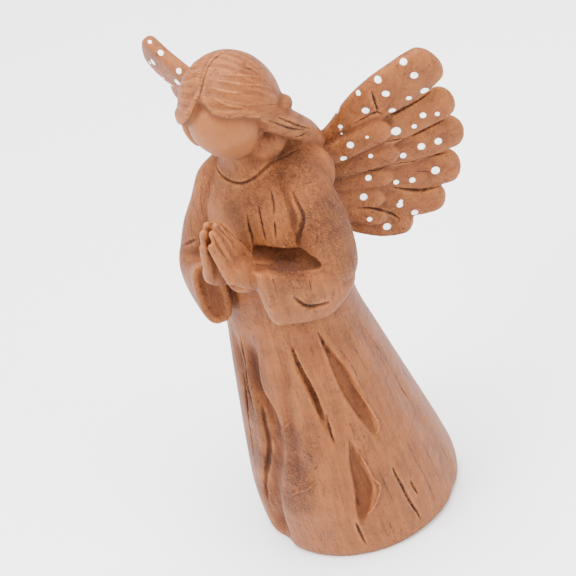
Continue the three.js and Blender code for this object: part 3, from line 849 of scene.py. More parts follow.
            (19.9, -44, 109.2), (20.8, -45.2, 100.8), (21.9, -45.8, 94.3),
        ]),
        (0.17, 0.8, [
            (26.9, -34.9, 146.4), (27.9, -34.5, 139.3), (28.9, -33.7, 131.3), (29.8, -33.2, 123.9),
        ]),
        (0.29, 0.8, [(24.4, -45.1, 98.9), (23.9, -45.8, 89.8), (25.1, -47.1, 80.2)]),
        (0.28, 0.85, [(23.5, -38.9, 141.8), (23.5, -39.6, 137.6), (23.6, -40.5, 133)]),
        (0.32, 0.85, [(25.4, -39.2, 132.2), (26.8, -37.9, 133)]),
        (0.3, 0.8, [
            (32.6, -30.1, 136.3), (34.1, -29.5, 129.4), (36, -28.2, 121.9), (37.3, -27.9, 115),
            (38, -28, 110.2), (39.3, -27.8, 101.8),
        ]),
        (0.3, 0.8, [
            (36.7, -11.2, 136.5), (37.5, -9.6, 129.1), (38.6, -7.9, 121.8), (39.8, -6.2, 113.7),
            (41, -4.4, 105.1), (42.1, -3.3, 97), (43.3, -2.5, 88.1), (45.3, -0.5, 74.5), (47.4, 1.5, 60.8),
        ]),
        (0.36, 0.9, [(43.4, -2.9, 87), (44.3, -1.8, 81.3), (45.4, -0.3, 73.8)]),
        (0.32, 0.85, [(37.1, 3.6, 116.9), (39.1, 6.9, 101.4), (41.3, 9.1, 87.2), (42.9, 11.5, 75.4)]),
        (0.3, 0.9, [
            (45.3, -30.7, 51.6), (46, -30.7, 46.1), (47.2, -30.2, 39), (48.5, -29.5, 28.3),
            (49.2, -28.7, 22.6), (50, -27.3, 16.3), (50.4, -26, 9.3),
        ]),
        (0.32, 0.9, [(49.7, -24.8, 37.6), (50.3, -24.5, 33), (51.2, -23.5, 26.5)]),
        (0.3, 0.85, [(40.3, -37.3, 56.8), (42.2, -37.3, 43.3), (43.8, -36.8, 31.7)]),
        (0.3, 0.8, [(49.5, -16.7, 57.3), (51.8, -16.3, 42), (53.9, -14.8, 22.5), (54.4, -14.1, 12.5)]),
        (0.3, 0.8, [(51, -6.6, 52.2), (53.8, -6.6, 36.5), (55.9, -5.2, 16.3)]),
        (0.3, 0.8, [(50.9, 8.3, 38.9), (52.2, 9.4, 28.1), (53.2, 11.4, 17.4)]),
        (0.26, 0.8, [(40.2, -41.3, 21.1), (40.4, -40.9, 15.9), (40.6, -39.9, 8.2)]),
        (0.26, 0.8, [(34.2, -46.1, 11.5), (34.6, -45.2, 6.7)]),
        (0.2, 0.8, [(26.7, -51.9, 27.2), (26.9, -51.6, 22.6), (27.2, -51.1, 16.1), (27.6, -50.2, 8.9)]),
        (0.27, 0.81, [
            (29.8, -33.2, 123.9), (30.3, -34.8, 118.4), (32.1, -35.8, 108.8), (34.6, -34.8, 96.2),
            (37.7, -34.6, 84.7), (40.5, -31.9, 75.3),
        ]),
        (0.27, 0.81, [
            (31.4, -42.7, 77.3), (30.7, -43.3, 69.2), (30.1, -45.5, 56.2), (29.6, -46.4, 40.5),
            (29.4, -48.5, 29.8),
        ]),
        (0.32, 0.7, [(11.7, -52.9, 83), (11.7, -53.9, 74.6), (13.5, -54.5, 65.4), (13.8, -55, 60.1)]),
        (0.32, 0.7, [(12.3, -53.7, 74.6), (15, -53.2, 72.1), (15.3, -53.6, 67.9)]),
        (0.18, 0.6, [
            (-12.6, -47.9, 101.4), (-12.8, -49.8, 88.9), (-13.9, -50.4, 74.9), (-19.7, -50.4, 59.3),
            (-26.9, -49.6, 42.3), (-29, -48.7, 29.8),
        ]),
        (0.28, 0.7, [(-16, -42.7, 144.9), (-18, -43.6, 128.3), (-21.7, -43.8, 107.1), (-18, -49.5, 92.7)]),
        (0.28, 0.7, [
            (-22.4, -42.2, 118.1), (-23.9, -44, 103.4), (-27.3, -46.1, 79.6), (-29.5, -47.1, 61.9),
        ]),
        (0.3, 0.8, [(-5.9, -45, 148.1), (-6.2, -45.9, 137.3), (-4.9, -48.8, 126.3), (-5.1, -50.5, 113.9)]),
        (0.26, 0.6, [(6.9, -45.7, 143.7), (7.4, -46.6, 133.1), (7.6, -47.1, 126.7)]),
        (0.28, 0.8, [(36.9, -23.1, 129.3), (39.2, -22, 117.1), (40.5, -21.8, 108.9)]),
        (0.22, 0.9, [(14, -15.5, 293.8), (16.7, -11.5, 291.1), (18.7, -6.4, 287.6), (19.5, -4.8, 285.4)]),
        (0.26, 0.3, [
            (2.5, 0.5, 293.6), (2.1, -8.2, 297.4), (0.6, -15.4, 298.5), (-0.1, -20.8, 297.7),
            (-0.1, -25.6, 295.7), (0, -29.9, 292.8), (0.1, -34.3, 290), (-0.8, -35.8, 287.4),
        ]),
        (0.3, 0.8, [
            (20.1, -21, 262.4), (22.9, -16, 255.5), (24.9, -7.5, 247.4), (27.3, -2.3, 245.2),
            (29, 4.3, 244.4),
        ]),
        (0.3, 0.8, [(25.1, -21, 268), (26.8, -14.9, 261), (28.1, -8, 254), (29, 1.2, 247.1)]),
        (0.3, 0.8, [(26.4, -14.8, 265.7), (28.5, -10, 260.1), (29.2, -3.8, 253.3), (29.2, 5.3, 245.2)]),
    ],
    # white light windows in her left wing and in her right one: middle and radius
    "leftWindows": [
        (73.9, 33.8, 268.3, 2), (59.9, 29.3, 260.1, 2), (48.2, 27.1, 253.1, 1.5), (33.7, 27.2, 241.9, 2),
        (77.0, 35.6, 259.5, 2), (61.7, 30.3, 251.2, 2), (78.4, 39.4, 248.1, 2.2),
        (70.7, 35.8, 245.5, 1.5), (49.3, 27.7, 242.1, 2), (60.9, 33.6, 238.9, 1.9),
        (34.8, 23.7, 234.1, 1.2), (34.3, 23.7, 229.7, 0.5), (71.1, 44.2, 229.4, 1.7),
        (77.3, 47.8, 228.2, 1.3), (66.1, 41.6, 224.1, 1.4), (57.9, 36.9, 223.8, 2.5),
        (46.9, 26.4, 226.6, 0.9), (38.5, 22.4, 223.9, 1.9), (72.2, 50.7, 209.0, 2),
        (64.6, 46.0, 208.5, 2), (44.0, 29.4, 212.6, 1.2), (55.9, 40.7, 205.9, 1.7),
        (33.5, 20.7, 216.3, 1.8), (66.3, 50.9, 190.1, 2.3), (39.3, 29.2, 198.6, 1.7),
        (48.7, 39.1, 189.5, 1.5), (55.6, 43.8, 188.1, 1.7), (34.8, 27.0, 187.6, 2),
        (47.3, 39.1, 174.8, 1.7), (48.1, 39.6, 176.7, 1.2), (52.4, 43.1, 167.3, 1.9),
        (34.3, 27.6, 172.6, 1.5), (39.1, 34.5, 163.2, 2.2),
    ],
    "rightWindows": [
        (-75.9, 36.2, 272.7, 1.5), (-68.2, 32.4, 268.1, 1.9), (-57.3, 28.8, 259.2, 1.7),
        (-81.4, 38.4, 257.1, 1.1), (-74.4, 36.4, 249.1, 1.1),
    ],
    # broad places: middle, reach, how rough the skin is there and how dark its painted shade is
    "patches": [
        ((24, -38, 190), 17, 1, 0.12),
        ((1, -52, 84), 15, 1, 0.3),
        ((0, -54, 62), 17, 1, 0.34),
        ((-4, -54, 42), 16, 1, 0.32),
        ((12, -51, 76), 10, 0.8, 0.1),
        ((40, -16, 205), 27, 1, 0.4),
        ((43, -18, 190), 21, 0.9, 0.34),
        ((24, -10, 230), 19, 1, 0.34),
        ((6, -22, 222), 24, 0.4, 0.26),
        ((-2, -33, 217), 11, 0, 0.6),
        ((2, -35, 209), 10, 0, 0.35),
        ((33, -42.5, 170.5), 6, 1, 0.35),
        ((-20, -44, 122), 22, 0, 0.6),
        ((-22, -46, 96), 19, 0.3, 0.6),
        ((-26, -48, 66), 19, 0.3, 0.6),
        ((-16, -49, 82), 10, 0.2, 0.4),
        ((-40, -28, 192), 28, 0.2, 0.36),
        ((-24, -46, 174), 17, 0, 0.4),
        ((-30, -47, 34), 14, 0.3, 0.35),
        ((24, 12, 206), 15, 0.3, 0.3),
        ((10, -14, 240), 12, 0.1, 0.2),
    ],
}


def nearestOn(line, places):
    # For each place, the vector to it from the nearest point of a line, and that point's share of the
    # line's length: the foot of a perpendicular on each straight piece, kept where it is the closest.
    line = np.array(line, float)
    if len(line) > 2:
        line = curveThrough(line, np.linspace(0, 1, 3 * len(line) - 2))
    least = np.full(len(places), np.inf)
    offset = np.zeros((len(places), 3))
    share = np.zeros(len(places))
    for i, (start, stop) in enumerate(zip(line[:-1], line[1:])):
        step = stop - start
        t = np.clip((places - start) @ step / (step @ step), 0, 1)
        away = places - start - t[:, None] * step
        length = np.linalg.norm(away, axis=1)
        closer = length < least
        least[closer] = length[closer]
        offset[closer] = away[closer]
        share[closer] = (i + t[closer]) / (len(line) - 1)
    return offset, share


def beside(line, places, reach):
    # The places within `reach` of the box round a line.
    line = np.array(line)
    return np.flatnonzero(np.all((places > line.min(0) - reach) & (places < line.max(0) + reach), axis=1))


def grooved(places, normals):
    # A groove is half a cosine wave deep across its course and tapers towards both ends, and a ridge
    # stands out in the same way. Noise makes both uneven.
    depth = np.zeros(len(places))
    dark = np.zeros(len(places))
    for half, deep, darkness, line in carvingPlan["grooves"]:
        chosen = beside(line, places, 8)
        offset, share = nearestOn(line, places[chosen])
        taper = np.sqrt(np.clip(4 * share * (1 - share), 0, 1)) * 0.8 + 0.2
        reach = half * taper * (1 + 0.25 * noiseAt(places[chosen], 3, 17))
        away = np.minimum(np.linalg.norm(offset, axis=1) / reach, 1)
        wave = (1 + np.cos(math.pi * away)) / 2
        depth[chosen] = np.maximum(depth[chosen], deep * taper * wave)
        # the groove's darkness is painted shade, darkest on its floor
        dark[chosen] = np.maximum(dark[chosen], darkness * wave)
    for half, high, line in carvingPlan["ridges"]:
        chosen = beside(line, places, 4)
        offset, share = nearestOn(line, places[chosen])
        taper = np.sqrt(np.clip(4 * share * (1 - share), 0, 1)) * 0.7 + 0.3
        uneven = 1 + 0.6 * noiseAt(places[chosen], 2.5, 29)
        away = np.minimum(np.linalg.norm(offset, axis=1) / (half * taper), 1)
        depth[chosen] -= high * taper * uneven * (1 + np.cos(math.pi * away)) / 2
    return places - normals * depth[:, None], dark


# The figure's mesh.

meshPlan = {
    "voxel": 0.8,
    "triangles": 196000,
    "settle": 2,
    # places where one form runs softly into the next: middle, reach, rounds of evening
    "soft": [
        ((22, -4, 228), 17, 60),
        ((38, -20, 182), 13, 50),
        ((14, 12, 215), 16, 40),
        ((8, -14, 240), 9, 14),
        ((13, -14, 252), 12, 40),
        ((22, -43, 189), 9, 14),
        ((29, 8, 214), 14, 60),
        ((22, -20, 268), 9, 24),
    ],
}


def objectOf(name, points, corners):
    # A piece from its points and from rows of corner numbers, one row a face.
    mesh = bpy.data.meshes.new(name)
    mesh.vertices.add(len(points))
    mesh.vertices.foreach_set("co", np.asarray(points, np.float32).ravel())
    mesh.loops.add(corners.size)
    mesh.loops.foreach_set("vertex_index", corners.astype(np.int32).ravel())
    mesh.polygons.add(len(corners))
    mesh.polygons.foreach_set("loop_start", np.arange(0, corners.size, corners.shape[1], dtype=np.int32))
    mesh.update(calc_edges=True)
    piece = bpy.data.objects.new(name, mesh)
    bpy.context.scene.collection.objects.link(piece)
    return piece


def settled(piece, kind, **settings):
    # Puts one modifier on the piece and keeps what it makes.
    modifier = piece.modifiers.new(kind.lower(), kind)
    for name, value in settings.items():
        setattr(modifier, name, value)
    graph = bpy.context.evaluated_depsgraph_get()
    made = bpy.data.meshes.new_from_object(piece.evaluated_get(graph))
    piece.modifiers.clear()
    old, piece.data = piece.data, made
    bpy.data.meshes.remove(old)


def pointsOf(mesh):
    points = np.empty(len(mesh.vertices) * 3, np.float32)
    mesh.vertices.foreach_get("co", points)
    return points.reshape(-1, 3).astype(float)


def movePoints(mesh, points):
    # Puts the mesh's points at new places.
    mesh.vertices.foreach_set("co", points.astype(np.float32).ravel())
    mesh.update()


def normalsOf(mesh):
    normals = np.empty(len(mesh.vertices) * 3, np.float32)
    mesh.vertex_normals.foreach_get("vector", normals)
    return normals.reshape(-1, 3).astype(float)


def edgesOf(mesh):
    edges = np.empty(len(mesh.edges) * 2, np.int32)
    mesh.edges.foreach_get("vertices", edges)
    return edges.reshape(-1, 2)


def evened(values, edges, rounds, weight=0.5):
    # Moves each value towards the mean of its neighbours' values, again and again.
    values = values.copy()
    count = np.maximum(np.bincount(edges.ravel(), minlength=len(values)), 1)
    for _ in range(rounds):
        for column in range(values.shape[1]):
            near = np.bincount(edges[:, 0], values[edges[:, 1], column], len(values))
            near += np.bincount(edges[:, 1], values[edges[:, 0], column], len(values))
            values[:, column] += weight * (near / count - values[:, column])
    return values


bodies = [gownBody()] + armBodies() + handBodies() + headBodies() + wingBodies()
starts = np.cumsum([0] + [len(points) for points, _ in bodies])
angel = objectOf(
    "angelFigure",
    np.vstack([points for points, _ in bodies]),
    np.vstack([corners + start for (_, corners), start in zip(bodies, starts)]),
)
settled(angel, "REMESH", mode="VOXEL", voxel_size=meshPlan["voxel"], adaptivity=0)
print("figure joined:", len(angel.data.vertices), "points")

recess = objectOf("recess", *loft(armPlan["recess"], zAxis, 64, 60, boxy=3, blunt=0.1))
settled(angel, "BOOLEAN", object=recess, operation="DIFFERENCE", solver="MANIFOLD")
bpy.data.objects.remove(recess)
settled(angel, "REMESH", mode="VOXEL", voxel_size=meshPlan["voxel"], adaptivity=0)
print("recess cut:", len(angel.data.vertices), "points")

points = pointsOf(angel.data)
edges = edgesOf(angel.data)
points = evened(points, edges, meshPlan["settle"])
for middle, reach, rounds in meshPlan["soft"]:
    for side in (1, -1):
        away = np.linalg.norm(points - np.array(middle) * [side, 1, 1], axis=1)
        weight = (1 - smoothStep(away, reach * 0.5, reach))[:, None]
        points += weight * (evened(points, edges, rounds) - points)
movePoints(angel.data, points)
points, _ = grooved(points, normalsOf(angel.data))
points[:, 2] = np.maximum(points[:, 2], 0)
movePoints(angel.data, points)

sides = np.empty(len(angel.data.polygons), np.int32)
angel.data.polygons.foreach_get("loop_total", sides)
triangleCount = int((sides - 2).sum())
# the mesh is thinned evenly, but less round the windows, whose rims need its points
near = np.zeros(len(points), bool)
for x, y, z, radius in carvingPlan["leftWindows"] + carvingPlan["rightWindows"]:
    for side in (1, -1):
        near |= np.linalg.norm(points - (x * side, y, z), axis=1) < radius + 2.5
thinned = angel.vertex_groups.new(name="thinned")
thinned.add(np.flatnonzero(~near).tolist(), 1.0, "REPLACE")
thinned.add(np.flatnonzero(near).tolist(), 0.0, "REPLACE")
settled(
    angel,
    "DECIMATE",
    ratio=min(1, meshPlan["triangles"] / triangleCount),
    vertex_group="thinned",
    vertex_group_factor=1.0,
)
angel.vertex_groups.clear()
points = pointsOf(angel.data)
normals = normalsOf(angel.data)
edges = edgesOf(angel.data)
# how far the skin lies below its own evened shape, after many, some and a few rounds of evening
broad, hollow, edgeLine = (
    np.sum((evened(points, edges, rounds) - points) * normals, axis=1) for rounds in (70, 14, 3)
)


def setAttribute(name, values):
    # One vector or one value for each point of the figure.
    kind, field = ("FLOAT_VECTOR", "vector") if values.ndim == 2 else ("FLOAT", "value")
    attribute = angel.data.attributes.new(name, kind, "POINT")
    attribute.data.foreach_set(field, values.astype(np.float32).ravel())


def crackMarks(places, normals):
    # For the nearest crack: the way to it along the skin over its half-width, and how near and dark it
    # is. The skin's own distance stays exact between points, so a crack is drawn finer than the mesh.
    way = np.full((len(places), 3), 9.0)
    near = np.zeros(len(places))
    least = np.full(len(places), 3.0)
    for half, darkness, line in carvingPlan["cracks"]:
        chosen = beside(line, places, 4)
        offset, share = nearestOn(line, places[chosen])
        facing = normals[chosen]
        flat = offset - facing * np.sum(offset * facing, axis=1)[:, None]
        length = np.linalg.norm(offset, axis=1)
        better = length < least[chosen]
        kept = chosen[better]
        least[kept] = length[better]
        taper = 0.25 + 0.75 * np.sqrt(np.clip(4 * share * (1 - share), 0, 1))
        way[kept] = (flat / (half * taper)[:, None])[better]
        near[kept] = (darkness * (1 - smoothStep(length, 1.6, 3)))[better]
    return way, near


def windowMarks(places, normals):
    # For the nearest window: the way from its middle over its radius, and 1 near it, only on the front.
    left = np.array(carvingPlan["leftWindows"])
    # the right wing has windows of its own in place of the left one's first three
    right = np.vstack([carvingPlan["rightWindows"], left[3:] * [-1, 1, 1, 1]])
    rows = np.vstack([left, right])
    way = np.full((len(places), 3), 9.0)
    near = np.zeros(len(places))
    least = np.full(len(places), 6.0)
    for x, y, z, radius in rows:
        chosen = beside([(x, y, z)], places, 6)
        offset = places[chosen] - (x, y, z)
        facing = normals[chosen]
        flat = offset - facing * np.sum(offset * facing, axis=1)[:, None]
        length = np.linalg.norm(offset, axis=1)
        better = (length < least[chosen]) & (facing[:, 1] < 0.35)
        kept = chosen[better]
        least[kept] = length[better]
        way[kept] = (flat / radius)[better]
        near[kept] = (1 - smoothStep(length, radius + 0.5, radius + 1.5))[better]
    return way, near


def patchMarks(places):
    # How rough the skin is, and how dark the painted shade on it, by the patch that does most at each
    # place.
    rough = np.zeros(len(places))
    dark = np.zeros(len(places))
    for middle, reach, roughness, darkness in carvingPlan["patches"]:
        away = np.linalg.norm(places - middle, axis=1) + 2.5 * noiseAt(places, 5, 23)
        near = 1 - smoothStep(away, reach * 0.2, reach * 1.1)
        rough = np.maximum(rough, roughness * near)
        # the darkness is painted shade, in place of the shade that falls in these places
        dark = np.maximum(dark, darkness * near)
    return rough, dark


def grainPlaces(places):
    # Places squeezed along the grain: down the gown, out along the feathers, and round the head to the
    # knots. A feather's own place is its bearing round the wing's root and its distance from it.
    grain = places * [1, 1, 0.045]
    root = np.array(wingPlan["root"])
    out = np.hypot(np.abs(places[:, 0]) - root[0], places[:, 1] - root[1])
    up = places[:, 2] - root[2]
    feather = np.column_stack([np.hypot(out, up) * 0.06, np.arctan2(up, out) * 42, places[:, 1]])
    onWing = smoothStep(places[:, 1], 14, 17) * smoothStep(places[:, 2], 150, 156)
    knot = np.array(headPlan["knot"][0])
    away = places[:, 1:] - knot[1:]
    fan = np.arctan2(away[:, 1], -away[:, 0])
    comb = np.column_stack([np.abs(places[:, 0]) * 0.15, fan * 26, places[:, 0] * 0.1])
    onHair = smoothStep(places[:, 2], 252, 256) * (1 - smoothStep(places[:, 1], 16, 18))
    face = (places[:, 1] < -20) & (aboveHairline(places)[0] < 0)
    grain = grain + onWing[:, None] * (feather - grain)
    grain = grain + (onHair * ~face)[:, None] * (comb - grain)
    return grain


markPlan = {
    # painted shade: how much small, middling and broad hollows darken the skin for each millimetre, and the
    # most
    "hollowShade": (1.5, 0.34, 0.36),
    "hollowShadeMost": 0.42,
    "groove": 0.6,
    # painted shade on skin that faces down
    "underside": 0.22,
    "wear": 4,
    "wearLost": 0.2,  # what a middling hollow takes from the wear
}

# Painted shade: groove floors, the patches, skin that faces down and the hollows are darkened in the
# colour, in place of the shade that falls there.
_, grooveShade = grooved(points, normals)
under = markPlan["underside"] * smoothStep(-normals[:, 2], 0.1, 0.9)
crackWay, crackNear = crackMarks(points, normals)
windowWay, windowNear = windowMarks(points, normals)
patchRough, patchShade = patchMarks(points)
aboveHair, _ = aboveHairline(points)
onFace = smoothStep(-points[:, 1], 20, 25) * smoothStep(points[:, 2], 240, 246)
small, middling, large = markPlan["hollowShade"]
hollowShade = np.maximum(hollow, 0) * middling + np.maximum(broad, 0) * large + np.maximum(edgeLine, 0) * small
hollowShade = np.minimum(hollowShade, markPlan["hollowShadeMost"])
marks = {
    "crackWay": crackWay,
    "crackNear": crackNear,
    "windowWay": windowWay,
    "windowNear": windowNear,
    "rough": patchRough,
    "plain": onFace * smoothStep(-aboveHair, -0.6, 0.8),
    "shade": np.clip(hollowShade + grooveShade * markPlan["groove"] + patchShade + under, 0, 1),
    "worn": np.clip(-edgeLine * markPlan["wear"] - hollow * markPlan["wearLost"], 0, 1),
    "grain": grainPlaces(points),
}
for name, values in marks.items():
    setAttribute(name, values)
movePoints(angel.data, points / 1000)
angel.data.polygons.foreach_set("use_smooth", np.ones(len(angel.data.polygons), bool))
print("figure finished:", len(angel.data.polygons), "faces")

# The material: copper-brown resin with painted shade in the hollows, grooves and undersides, worn edges, a
# fine grain and windows that glow with painted light.

resinPlan = {
    # colours as red, green and blue in linear light
    "base": (0.150, 0.0390, 0.0066),
    "pale": (0.232, 0.0700, 0.0150),
    "light": (0.36, 0.126, 0.034),
    "deep": (0.085, 0.0190, 0.0038),
    # the dark of the stipple and checks, and of the painted shade in hollows, grooves and undersides
    "washAndShade": (0.032, 0.0062, 0.0013),
    "crack": (0.009, 0.0020, 0.0007),
    "face": (0.205, 0.0610, 0.0145),
    "window": (0.96, 0.96, 0.95),
    # how strongly the windows glow: painted light, with no lamp inside
    "paintedGlow": 0.55,
    "sheenTint": (0.80, 0.62, 0.72),
}


def node(tree, kind, inputs=(), **settings):
    # One shader node; an input's value is either another node's socket or a constant.
    made = tree.nodes.new(kind)
    for name, value in settings.items():
        setattr(made, name, value)
    for name, value in dict(inputs).items():
        if isinstance(value, bpy.types.NodeSocket):
            tree.links.new(value, made.inputs[name])
        else:
            made.inputs[name].default_value = value
    return made


def mathOf(tree, operation, a, b=0.5):
    # One step of arithmetic on two values, each of them a socket or a number.
    return node(tree, "ShaderNodeMath", {0: a, 1: b}, operation=operation).outputs[0]


def times(tree, a, b):
    return mathOf(tree, "MULTIPLY", a, b)


def plus(tree, a, b):
    return mathOf(tree, "ADD", a, b)


def minus(tree, a, b):
    return mathOf(tree, "SUBTRACT", a, b)


def lengthOf(tree, vector):
    return node(tree, "ShaderNodeVectorMath", {0: vector}, operation="LENGTH").outputs["Value"]


def ramp(tree, value, low, high, start=0.0, stop=1.0):
    # A value's smooth rise from start at low to stop at high.
    inputs = {"Value": value, "From Min": low, "From Max": high, "To Min": start, "To Max": stop}
    return node(tree, "ShaderNodeMapRange", inputs, interpolation_type="SMOOTHSTEP").outputs["Result"]


def blend(tree, share, a, b):
    # (1 - share) of colour a and share of colour b.
    made = node(tree, "ShaderNodeMix", data_type="RGBA")
    for name, value in (("Factor_Float", share), ("A_Color", a), ("B_Color", b)):
        socket = next(item for item in made.inputs if item.identifier == name)
        if isinstance(value, bpy.types.NodeSocket):
            tree.links.new(value, socket)
        else:
            socket.default_value = (*value, 1) if isinstance(value, tuple) else value
    return next(item for item in made.outputs if item.identifier == "Result_Color")


def noiseNode(tree, vector, scale, detail=3, roughness=0.55, distortion=0.0):
    inputs = {"Vector": vector, "Scale": scale, "Detail": detail}
    inputs.update({"Roughness": roughness, "Distortion": distortion})
    return node(tree, "ShaderNodeTexNoise", inputs).outputs[0]


def attributeOf(tree, name, output="Fac"):
    # What the mesh carries under this name at each place.
    return node(tree, "ShaderNodeAttribute", attribute_name=name).outputs[output]


def carvedResin():
    # Base brown blended in turn with streaks, blotches, wear, stipple, painted shade, checks, pits, cracks
    # and windows, each by its own mask, and the windows glow with painted light. The bump adds up the
    # heights of the grain, dents, stipple and cuts.
    plan = resinPlan
    material = bpy.data.materials.new("carvedResin")
    material.use_nodes = True
    tree = material.node_tree
    shader = tree.nodes["Principled BSDF"]
    grain = attributeOf(tree, "grain", "Vector")
    place = node(tree, "ShaderNodeTexCoord").outputs["Object"]
    place = node(tree, "ShaderNodeVectorMath", {0: place, "Scale": 1000}, operation="SCALE").outputs[0]
    rough = attributeOf(tree, "rough")
    plainSkin = attributeOf(tree, "plain")
    shade = attributeOf(tree, "shade")
    worn = attributeOf(tree, "worn")

    # streaks along the grain, blotches, and small pits
    streak = noiseNode(tree, grain, 0.30, 4, 0.55, 0.3)
    fineStreak = noiseNode(tree, grain, 1.3, 3, 0.6)
    blotch = noiseNode(tree, place, 0.055, 3, 0.55)
    speck = noiseNode(tree, place, 0.75, 2, 0.5)
    dent = noiseNode(tree, place, 0.16, 2, 0.5, 0.5)
    stipple = noiseNode(tree, place, 0.5, 2, 0.6, 1.6)
    quiet = minus(tree, 1.0, times(tree, plainSkin, 0.92))

    # hairline checks in the wood: where a stretched noise passes its middle, in patches
    checkNoise = noiseNode(tree, grain, 0.42, 2, 0.5, 0.2)
    checkLine = ramp(tree, mathOf(tree, "ABSOLUTE", minus(tree, checkNoise, 0.5)), 0.0, 0.012, 1.0, 0.0)
    checkPlace = ramp(tree, noiseNode(tree, place, 0.06, 2, 0.5), 0.48, 0.58)
    check = times(tree, times(tree, checkLine, checkPlace), quiet)

    # the cut cracks: 1 on the line and 0 at its edge, which noise makes ragged
    away = lengthOf(tree, attributeOf(tree, "crackWay", "Vector"))
    ragged = plus(tree, away, times(tree, minus(tree, speck, 0.5), 2.6))
    broken = ramp(tree, noiseNode(tree, place, 0.33, 2, 0.6), 0.40, 0.50, 0.25, 1.0)
    crack = times(tree, ramp(tree, ragged, 0.20, 1.05, 1.0, 0.0), attributeOf(tree, "crackNear"))
    crack = times(tree, crack, broken)

    # pits: the darkest specks of the fine noise
    pit = ramp(tree, speck, 0.31, 0.26)
    pit = times(tree, pit, quiet)

    # the windows: 1 inside their rim
    away = lengthOf(tree, attributeOf(tree, "windowWay", "Vector"))
    window = ramp(tree, away, 0.86, 1.06, 1.0, 0.0)
    window = times(tree, window, ramp(tree, attributeOf(tree, "windowNear"), 0.25, 0.5))

    colour = blend(tree, times(tree, ramp(tree, streak, 0.40, 0.70), 0.6), plan["base"], plan["pale"])
    colour = blend(tree, times(tree, ramp(tree, streak, 0.50, 0.30), 0.35), colour, plan["deep"])
    colour = blend(tree, times(tree, ramp(tree, blotch, 0.42, 0.68), 0.45), colour, plan["pale"])
    colour = blend(tree, times(tree, ramp(tree, fineStreak, 0.46, 0.32), 0.28), colour, plan["deep"])
    colour = blend(tree, times(tree, plainSkin, 0.55), colour, plan["face"])
    colour = blend(tree, times(tree, worn, 0.75), colour, plan["light"])
    everywhere = times(tree, plus(tree, times(tree, rough, 0.55), 0.14), quiet)
    stippled = times(tree, ramp(tree, stipple, 0.50, 0.34), everywhere)
    raised = times(tree, ramp(tree, stipple, 0.56, 0.70), times(tree, everywhere, 0.6))
    colour = blend(tree, raised, colour, plan["light"])
    colour = blend(tree, stippled, colour, plan["washAndShade"])
    # painted shade: hollows, grooves, undersides and the shade patches darkened towards the dark colour
    colour = blend(tree, times(tree, shade, 0.85), colour, plan["washAndShade"])
    colour = blend(tree, times(tree, check, 0.75), colour, plan["washAndShade"])
    colour = blend(tree, times(tree, pit, 0.7), colour, plan["crack"])
    colour = blend(tree, crack, colour, plan["crack"])
    colour = blend(tree, window, colour, plan["window"])
    tree.links.new(colour, shader.inputs["Base Color"])

    # painted glow: the windows give off light of their own, so that they stay white whatever light reaches
    # them
    paintedGlow = blend(tree, window, (0.0, 0.0, 0.0), tuple(plan["paintedGlow"] * part for part in plan["window"]))
    tree.links.new(paintedGlow, shader.inputs["Emission Color"])
    shader.inputs["Emission Strength"].default_value = 1

    gloss = plus(tree, times(tree, streak, 0.18), 0.46)
    tree.links.new(plus(tree, gloss, times(tree, shade, 0.2)), shader.inputs["Roughness"])
    shader.inputs["Specular IOR Level"].default_value = 0.22
    shader.inputs["Sheen Weight"].default_value = 0.04
    shader.inputs["Sheen Roughness"].default_value = 0.45
    shader.inputs["Sheen Tint"].default_value = (*plan["sheenTint"], 1)

    # each mask and its height in millimetres
    parts = [
        (times(tree, streak, quiet), 1.0),
        (times(tree, dent, quiet), 1.3),
        (times(tree, fineStreak, quiet), 0.3),
        (times(tree, stipple, times(tree, plus(tree, rough, 0.15), quiet)), 2.4),
        (check, -0.3),
        (pit, -0.25),
        (crack, -0.9),
        (window, -0.4),
    ]
    height = 0.0
    for part, size in parts:
        height = plus(tree, times(tree, part, size), height)
    bump = node(tree, "ShaderNodeBump", {"Height": height, "Distance": 0.001, "Strength": 1.0})
    tree.links.new(bump.outputs["Normal"], shader.inputs["Normal"])
    return material


angel.data.materials.clear()
angel.data.materials.append(carvedResin())
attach(angel, "root")
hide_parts("angel_figure")

# Floor, light and camera.

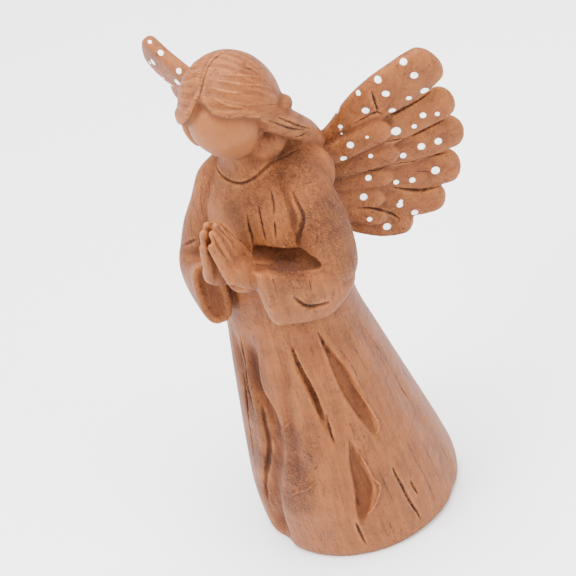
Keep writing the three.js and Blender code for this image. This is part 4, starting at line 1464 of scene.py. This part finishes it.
studioPlan = {
    "floor": (0.95, 0.95, 0.95),
    "floorReach": 9,
    "world": 1.55,
    # name, place, size, power
    "lights": [
        ("overheadLight", (0, 0.1, 2.0), 1.3, 105),
        ("keyLight", (-0.45, -0.95, 1.0), 0.7, 24),
        ("sideLight", (1.1, -0.1, 0.7), 0.6, 11),
    ],
}


def plain(name, colour, roughness):
    # One colour and one roughness all over.
    material = bpy.data.materials.new(name)
    material.use_nodes = True
    shader = material.node_tree.nodes["Principled BSDF"]
    shader.inputs["Base Color"].default_value = (*colour, 1)
    shader.inputs["Roughness"].default_value = roughness
    return material


reach = studioPlan["floorReach"]
square = np.array([(-1, -1, 0), (1, -1, 0), (1, 1, 0), (-1, 1, 0)], float) * reach
floor = objectOf("floor", square, np.array([(0, 1, 2, 3)]))
floor.data.materials.append(plain("paleFloor", studioPlan["floor"], 0.8))

scene = bpy.context.scene
world = bpy.data.worlds.new("softWorld")
world.use_nodes = True
world.node_tree.nodes["Background"].inputs["Color"].default_value = (1, 1, 1, 1)
world.node_tree.nodes["Background"].inputs["Strength"].default_value = studioPlan["world"]
scene.world = world


def pointedAt(item, place, aim, roll=0):
    # Stands at a place and looks at the aim, turned about that line by the roll.
    away = Vector(place) - Vector(aim)
    facing = away.to_track_quat("Z", "Y").to_matrix()
    item.rotation_euler = (facing @ Matrix.Rotation(roll, 3, "Z")).to_euler()
    item.location = place


for name, place, size, power in studioPlan["lights"]:
    light = bpy.data.lights.new(name, "AREA")
    light.size = size
    light.energy = power
    lamp = bpy.data.objects.new(name, light)
    scene.collection.objects.link(lamp)
    pointedAt(lamp, place, (0, 0, 0.15))

turn, rise = math.radians(view["turn"]), math.radians(view["rise"])
back = np.array([math.sin(turn) * math.cos(rise), -math.cos(turn) * math.cos(rise), math.sin(rise)])
aim = np.array(view["aim"]) / 1000
cameraData = bpy.data.cameras.new("camera")
cameraData.sensor_width = 36
cameraData.lens = view["lens"]
cameraData.clip_start = 0.05
cameraData.clip_end = 50
camera = bpy.data.objects.new("camera", cameraData)
scene.collection.objects.link(camera)
pointedAt(camera, tuple(aim + back * view["distance"] / 1000), tuple(aim), math.radians(view["roll"]))
scene.camera = camera
